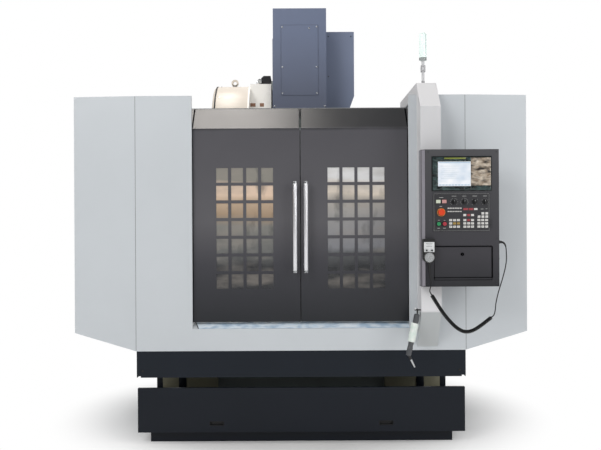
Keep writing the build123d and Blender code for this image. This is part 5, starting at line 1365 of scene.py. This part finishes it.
class MACHINE_OT_screen(Operator):
    """Finish the screen unit: glossy bezel, film, tape, and a lit display with a plain layout."""
    bl_idname = "machine.screen"
    bl_label = "Screen"

    def execute(self, context):
        dress("screen_unit", "bezel", 0.6)
        low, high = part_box("screen_unit")
        left, right, bottom, top = 0.7140, 0.8849, 1.3970, 1.5252
        self.display(low[1], left, right, bottom, top)
        # The film's warm and teal colours are painted reflection.
        self.creased(
            "screen_film_right", (right + 0.001, low[2] + 0.030), (high[0] - 0.006, high[2] - 0.008),
            "screen_film", low[1],
        )
        for name, start, end in (
            ("top", (low[0] + 0.005, top + 0.001), (right + 0.001, high[2] - 0.006)),
            ("left", (low[0] + 0.005, bottom), (left - 0.001, top + 0.001)),
            ("low", (low[0] + 0.005, low[2] + 0.006), (right + 0.001, bottom - 0.001)),
            ("corner", (right + 0.001, low[2] + 0.006), (high[0] - 0.006, low[2] + 0.030)),
        ):
            self.creased(f"screen_film_{name}", start, end, "teal_film", low[1])
        return {"FINISHED"}

    def display(self, glass, left, right, bottom, top):
        """The lit panel just behind the glass, its plain lines and bars, and a strip of tape above."""
        face, rim, proud = glass + 0.0006, 0.0004, 0.0002
        slab(
            "display_panel", (left + rim, face, bottom + rim), (right - rim, face + 0.002, top - rim),
            "display", "pendant", 0.2, 1,
        )
        rows, bars = bmesh.new(), bmesh.new()
        width = right - left
        ink(bars, left + width * 0.5, top - 0.0055, width * 1000 - 6, 5, face, proud)
        for row in range(7):
            ink(rows, left + width * 0.36, top - 0.024 - row * 0.0105, 96 - 17 * (row % 3), 1.6, face, proud)
        for column in range(10):
            ink(bars, left + 0.0115 + column * 0.0164, bottom + 0.0065, 13.5, 5.5, face, proud)
        settle("display_lines", rows, "screen_ink", "pendant")
        settle("display_bars", bars, "screen_blue", "pendant")
        slab(
            "screen_tape", (0.746, glass - 0.0030, 1.5375), (0.858, glass + 0.0005, 1.5455),
            "olive_tape", "pendant", 0.6,
        )

    def creased(self, name, start, end, film, face):
        """A patch of creased film over the glass, between two corners given as x and z."""
        columns, rows = [max(4, round((b - a) / (3 * MM))) for a, b in zip(start, end)]

        def corner(i, j):
            x = start[0] + (end[0] - start[0]) * i / columns
            z = start[1] + (end[1] - start[1]) * j / rows
            inside = min(i, columns - i, j, rows - j) > 0
            ridge = crumple((x * 70, 3.3, z * 90), (x * 190, 7.7, z * 140), 0.6) if inside else 0.0
            return x, face - 0.0002 - 0.0022 * ridge, z

        patch = bmesh.new()
        weave(patch, columns, rows, corner)
        settle(name, patch, film, "pendant")


# The front of the operator panel
panel_face = front_y - 0.263


class MACHINE_OT_panel(Operator):
    """Finish the operator panel: overlay, keys, printed marks, dial scales and button bezels."""
    bl_idname = "machine.panel"
    bl_label = "Operator panel"

    def execute(self, context):
        dress("operator_panel", "overlay", 0.4)
        self.keys()
        self.legends()
        rims = bmesh.new()
        for x in (0.717, 0.747):
            lathe_ring(rims, (x, panel_face, 1.202), 0.0102, 0.0142, 0.0046)
        bar, reach, rise, lit_z = 0.0011, 0.0130, 0.0107, 1.318
        for x in (0.715, 0.746):
            for dx, dz, half, up in (
                (-reach, 0, bar, 0.012), (reach, 0, bar, 0.012),
                (0, rise, 0.014, bar), (0, -rise, 0.014, bar),
            ):
                block(
                    rims, (x + dx - half, panel_face - 0.0022, lit_z + dz - up),
                    (x + dx + half, panel_face, lit_z + dz + up), 0.5,
                )
        settle("button_rims", rims, "black", "pendant")
        # The emergency stop's yellow collar is a low ring with a higher rim.
        collar = bmesh.new()
        for hole, ring, height in ((0.0125, 0.0212, 0.0022), (0.0180, 0.0213, 0.0042)):
            lathe_ring(collar, (0.730, panel_face, 1.262), hole, ring, height)
        settle("stop_collar", collar, "yellow", "pendant")
        return {"FINISHED"}

    def key(self, mesh, x, z, half=0.0078, rise=0.0058, tall=True):
        """One key. A tall one stands 1.8 mm out of the panel, a low one 0.8 mm."""
        proud, deep, soft = (0.0018, 0.0, 0.9) if tall else (0.0008, 0.0005, 0.8)
        block(mesh, (x - half, panel_face - proud, z - rise), (x + half, panel_face + deep, z + rise), soft)

    def keys(self):
        """Three fields of nine keys, a row over the middle one, low keys, and two rows of small signs."""
        white, red, yellow, marks = bmesh.new(), bmesh.new(), bmesh.new(), bmesh.new()
        first_x, first_z, apart, pitch, row_pitch = 0.799, 1.187, 0.073, 0.020, 0.017
        for group in range(3):
            for column in range(3):
                for row in range(3):
                    x = first_x + group * apart + (column - 1) * pitch
                    z = first_z + row * row_pitch
                    target = yellow if group == 0 and row == 1 and column > 0 else white
                    target = red if group == 1 and row == 2 and column == 1 else target
                    self.key(target, x, z)
                    # A short printed bar stands for each key's symbol.
                    width = 6.5 - 1.5 * ((column + row + group) % 3)
                    ink(marks, x, z + 0.0010, width, 1.6, panel_face - 0.0018, 0.0002)
        for column, target in ((-1, white), (0, red), (1, white)):
            self.key(target, 0.872 + column * pitch, 1.247)
        for x, z in ((0.926, 1.2385), (0.946, 1.2385), (0.966, 1.2385), (0.946, 1.2555), (0.966, 1.2555)):
            self.key(white, x, z, 0.0072, 0.0062, tall=False)
        for x, half, rise, target in (
            (0.857, 0.0118, 0.0055, red), (0.8845, 0.0118, 0.0055, red), (0.9095, 0.0090, 0.0050, white),
        ):
            self.key(target, x, 1.278, half, rise, tall=False)
        for row, z in enumerate((1.2830, 1.2660)):
            for column in range(6):
                x = 0.7685 + column * 0.0125
                ink(white, x, z, 10.0, 6.2 - row, panel_face)
                ink(marks, x, z + 0.0006, 5.0 - (column + row) % 3, 1.4, panel_face - 0.0003, 0.0002)
        settle("white_keys", white, "key_white", "pendant")
        settle("red_keys", red, "key_red", "pendant")
        settle("yellow_keys", yellow, "key_yellow", "pendant")
        settle("key_marks", marks, "black", "pendant")

    def legends(self):
        """Scales round the rotary knobs, short bars for the legends, and the overlay's outline."""
        signs = bmesh.new()
        first_x, knob_z, knob_pitch, sweep = 0.797, 1.315, 0.0535, 270
        for place, (radius, ticks) in enumerate(((0.0172, 11), (0.0172, 15), (0.0155, 4), (0.0155, 8))):
            for i in range(ticks):
                a, long = radians(225 - sweep * i / (ticks - 1)), 0.0030 if i % 2 else 0.0044
                tick(signs, first_x + place * knob_pitch, knob_z, a, radius, long, panel_face)
        for place in range(4):
            ink(signs, first_x + place * knob_pitch, 1.3455, 24 - 3 * (place % 2), 2.0, panel_face)
        for x, z, width in (
            (0.7285, 1.2925, 14), (0.717, 1.2205, 9), (0.717, 1.1795, 13), (0.747, 1.1795, 13),
            (0.747, 1.2205, 7), (0.7305, 1.3385, 22), (0.9420, 1.2780, 15), (0.9650, 1.2790, 9),
        ):
            ink(signs, x, z, width, 2.4, panel_face)
        for z in (1.1665, 1.3585):
            ink(signs, 0.8355, z, 286, 0.7, panel_face, 0.0002)
        for x in (0.6925, 0.9785):
            ink(signs, x, 1.2625, 0.7, 192, panel_face, 0.0002)
        settle("panel_legends", signs, "legend", "pendant")


class MACHINE_OT_controls(Operator):
    """Finish the push buttons and rotary knobs, with pointers and a mushroom head."""
    bl_idname = "machine.controls"
    bl_label = "Buttons and knobs"

    def execute(self, context):
        for node, coat in (
            ("start_button", "green"), ("stop_button", "maroon"), ("power_on_button", "lit_white"),
            ("power_off_button", "lit_pink"), ("estop_button", "red"),
        ):
            dress(node, coat, 0.8, 3)
        low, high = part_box("estop_button")
        x, _, z = middle(low, high)
        # The mushroom ends at the CAD's own front.
        rim, rise, tall = 0.0170, 0.0058, 0.0118
        dome = [(rim * cos(radians(a)), 0.0060 + rise * sin(radians(a))) for a in (15, 30, 45, 60, 75)]
        turned(
            "stop_mushroom", "red", "estop_button", (x, low[1] + tall, z), FRONT, 48,
            (0.0171, 0.0), (0.0173, 0.0025), (rim, 0.0058), *dome, (0, tall),
        )
        for node in ("mode_knob", "feed_knob", "rapid_knob", "speed_knob"):
            dress(node, "black", 0.8, 3)
            low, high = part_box(node)
            x, _, z = middle(low, high)
            line = bmesh.new()
            plate(line, (x - 0.0007, x + 0.0007), (z + 0.0030, z + 0.0098), low[1], 0.0003)
            settle(f"{node}_pointer", line, "white", node)
            skirt = bmesh.new()
            ribs(skirt, 20, 8, (x, high[1], z), 0.0119, 0, FRONT, (0.0010, 0), (0.0010, 0.0036), (0, 0.0042))
            settle(f"{node}_flutes", skirt, "black", node)
        return {"FINISHED"}


class MACHINE_OT_handwheel(Operator):
    """Finish the handwheel unit: body, plate, scale, turned wheel and selectors."""
    bl_idname = "machine.handwheel"
    bl_label = "Handwheel unit"

    def execute(self, context):
        dress("mpg_body", "black", 3.0, 4)
        dress("mpg_wheel", "aluminium", 1.2, 3)
        dress("mpg_axis_knob mpg_step_knob", "gasket", 0.8)
        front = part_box("mpg_body")[0][1]
        x, z = 0.661, 1.030
        slab(
            "unit_plate", (x - 0.0268, front - 0.0003, 1.0572), (x + 0.0268, front + 0.001, 1.1088),
            "white", "pendant", 1.2,
        )
        lines = bmesh.new()
        for row, width in enumerate((34, 26, 30)):
            ink(lines, x, 1.1015 - row * 0.0075, width, 1.5, front - 0.0003, 0.0002)
        # Dots round both selectors.
        for side in (-1, 1):
            for i in range(5):
                a = radians(165 - 37.5 * i)
                dot_x, dot_z = x + side * 0.014 + 0.0085 * cos(a), 1.066 + 0.0085 * sin(a)
                ink(lines, dot_x, dot_z, 1.6, 1.6, front - 0.0003, 0.0002)
        settle("unit_plate_marks", lines, "black", "pendant")
        scale = bmesh.new()
        for i, a in enumerate(angles(look().dial_marks)):
            tick(scale, x, z, a, 0.0250, 0.0020 if i % 5 else 0.0036, front + 0.0015)
        settle("wheel_scale", scale, "legend", "pendant")
        wheel_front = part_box("mpg_wheel")[0][1]
        trim = bmesh.new()
        for hole, ring in ((0.0188, 0.0222), (0.0042, 0.0072)):
            lathe_ring(trim, (x, wheel_front + 0.0011, z), hole, ring, 0.0010)
        settle("wheel_rings", trim, "aluminium", "mpg_wheel")
        grip = bmesh.new()
        ribs(
            grip, 60, 6, (x, wheel_front + 0.0118, z), 0.0234, 0, FRONT,
            (0.00075, 0.0008), (0.00075, 0.0105), (0, 0.0112),
        )
        settle("wheel_knurl", grip, "aluminium", "mpg_wheel")
        half, rise = 0.0016, 0.0040
        for node in ("mpg_axis_knob", "mpg_step_knob"):
            low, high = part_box(node)
            knob_x, _, knob_z = middle(low, high)
            slab(
                f"{node}_grip", (knob_x - half, low[1] - 0.0004, knob_z - rise),
                (knob_x + half, low[1] + 0.002, knob_z + rise), "gasket", node, 0.5,
            )
        return {"FINISHED"}


class MACHINE_OT_stage(Operator):
    """Set the floor, the soft studio light and the camera."""
    bl_idname = "machine.stage"
    bl_label = "Stage"

    def execute(self, context):
        scene = context.scene
        scene.view_settings.view_transform = "Standard"
        self.floor(scene)
        self.light(scene)
        self.camera(scene)
        return {"FINISHED"}

    def floor(self, scene):
        """A wide pale floor."""
        mesh = bmesh.new()
        bmesh.ops.create_grid(mesh, x_segments=24, y_segments=24, size=30.0)
        data = bpy.data.meshes.new("floor")
        mesh.to_mesh(data)
        mesh.free()
        floor = bpy.data.objects.new("floor", data)
        scene.collection.objects.link(floor)
        # Sealed pale concrete, rubbed dull; fine pores are left out at this distance.
        material = finish("sealed pale concrete", "DCDCDC", 0.6, gloss=(300, 0.5, 0.7))
        shader = shader_of(material)
        shader.inputs["Base Color"].default_value = (*look().floor_colour, 1.0)
        # To the eye the sweep turns to plain white away from the machine.
        place = add_node(material, "TexCoord")
        apart = add_node(material, "VectorMath", {"operation": "LENGTH"}, {0: place.outputs["Object"]})
        fade = add_node(
            material, "MapRange",
            {"interpolation_type": "SMOOTHSTEP", "From Min": 0.9, "From Max": 1.6},
            {"Value": apart.outputs["Value"]},
        )
        eye = self.seen(material, "Is Camera Ray", "Is Glossy Ray", "Is Transmission Ray")
        share = add_node(material, "Math", {"operation": "MULTIPLY"}, {0: fade.outputs["Result"], 1: eye})
        white = add_node(material, "Emission", {"Strength": 1.0})
        mix = add_node(
            material, "MixShader", {}, {0: share.outputs[0], 1: shader.outputs[0], 2: white.outputs[0]}
        )
        tree = material.node_tree
        tree.links.new(mix.outputs[0], tree.nodes["Material Output"].inputs["Surface"])
        data.materials.append(material)

    def seen(self, owner, *rays):
        """1 for these kinds of ray, and 0 for the rest."""
        path = add_node(owner, "LightPath")
        total = path.outputs[rays[0]]
        for ray in rays[1:]:
            total = add_node(
                owner, "Math", {"operation": "MAXIMUM"}, {0: total, 1: path.outputs[ray]}
            ).outputs[0]
        return total

    def light(self, scene):
        """A white room and three soft lamps."""
        world = bpy.data.worlds.new("studio")
        scene.world = world
        world.use_nodes = True
        # Gloss shows a darker room in front of the machine, and the eye sees plain white.
        place = add_node(world, "TexCoord")
        split = add_node(world, "SeparateXYZ", {}, {"Vector": place.outputs["Generated"]})
        room = add_node(
            world, "MapRange", {"From Min": 0.1, "From Max": 0.6, "To Min": 0.2, "To Max": 1.0},
            {"Value": split.outputs["Y"]},
        )
        gloss = add_node(
            world, "Mix", {2: 0.50}, {0: self.seen(world, "Is Glossy Ray"), 3: room.outputs["Result"]}
        )
        level = add_node(
            world, "Mix", {3: 1.0},
            {0: self.seen(world, "Is Camera Ray", "Is Transmission Ray"), 2: gloss.outputs[0]},
        )
        back = world.node_tree.nodes["Background"]
        back.inputs["Color"].default_value = (1, 1, 1, 1)
        world.node_tree.links.new(level.outputs[0], back.inputs["Strength"])
        # The skylight is long from front to back, and its edges show in the doors' sloping tops.
        # Each lamp's name, place, watts, length, width and tint.
        for name, place, power, size, width, tint in (
            ("key", (-3.2, -5.6, 4.6), 136, 3.0, 3.0, "FFFFFF"),
            ("fill", (4.2, -4.6, 2.6), 80, 3.0, 3.0, "FFFFFF"),
            ("skylight", (-0.68, -0.3, 5.0), 68, 2.6, 1.2, "FFF9F3"),
        ):
            lamp = bpy.data.lights.new(name, "AREA")
            lamp.color = linear(tint)[:3]
            lamp.energy = power
            lamp.shape = "ELLIPSE"
            lamp.size = size
            lamp.size_y = width
            piece = bpy.data.objects.new(name, lamp)
            piece.location = place
            aim = Vector((0, -0.4, 1.2)) - Vector(place)
            piece.rotation_euler = aim.to_track_quat("-Z", "Y").to_euler()
            scene.collection.objects.link(piece)

    def camera(self, scene):
        """The camera, at the photograph's place."""
        data = bpy.data.cameras.new("eye")
        data.lens = 50
        data.sensor_width = 36
        eye = bpy.data.objects.new("eye", data)
        eye.location = (0, front_y - look().eye_distance, look().eye_height)
        # The photograph leans by a third of a degree.
        eye.rotation_euler = (pi / 2, radians(0.3), 0)
        scene.collection.objects.link(eye)
        scene.camera = eye


steps = (
    MACHINE_OT_paints, MACHINE_OT_stage, MACHINE_OT_cord, MACHINE_OT_enclosure, MACHINE_OT_doors,
    MACHINE_OT_tank, MACHINE_OT_head, MACHINE_OT_magazine, MACHINE_OT_drives, MACHINE_OT_inside,
    MACHINE_OT_cabinet, MACHINE_OT_lamp, MACHINE_OT_air_gun, MACHINE_OT_pendant, MACHINE_OT_screen,
    MACHINE_OT_panel, MACHINE_OT_controls, MACHINE_OT_handwheel,
)


class MACHINE_PT_sidebar(Panel):
    """Lists the sizes, the colours and the pieces."""
    bl_idname = "MACHINE_PT_sidebar"
    bl_label = "Machining Centre"
    bl_space_type = "VIEW_3D"
    bl_region_type = "UI"
    bl_category = "Machine"

    def draw(self, context):
        layout = self.layout
        values = context.scene.machine_look
        for name in MachineLook.__annotations__:
            layout.prop(values, name)
        for step in steps:
            layout.operator(step.bl_idname)


def register():
    register_class(MachineLook)
    bpy.types.Scene.machine_look = PointerProperty(type=MachineLook)
    for step in steps:
        register_class(step)
    register_class(MACHINE_PT_sidebar)


def unregister():
    unregister_class(MACHINE_PT_sidebar)
    for step in reversed(steps):
        unregister_class(step)
    del bpy.types.Scene.machine_look
    unregister_class(MachineLook)


def main():
    register()
    for step in steps:
        group, name = step.bl_idname.split(".")
        if getattr(getattr(bpy.ops, group), name)() != {"FINISHED"}:
            raise RuntimeError(f"the step {step.bl_label} did not finish")
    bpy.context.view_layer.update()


if __name__ == "__main__":
    main()
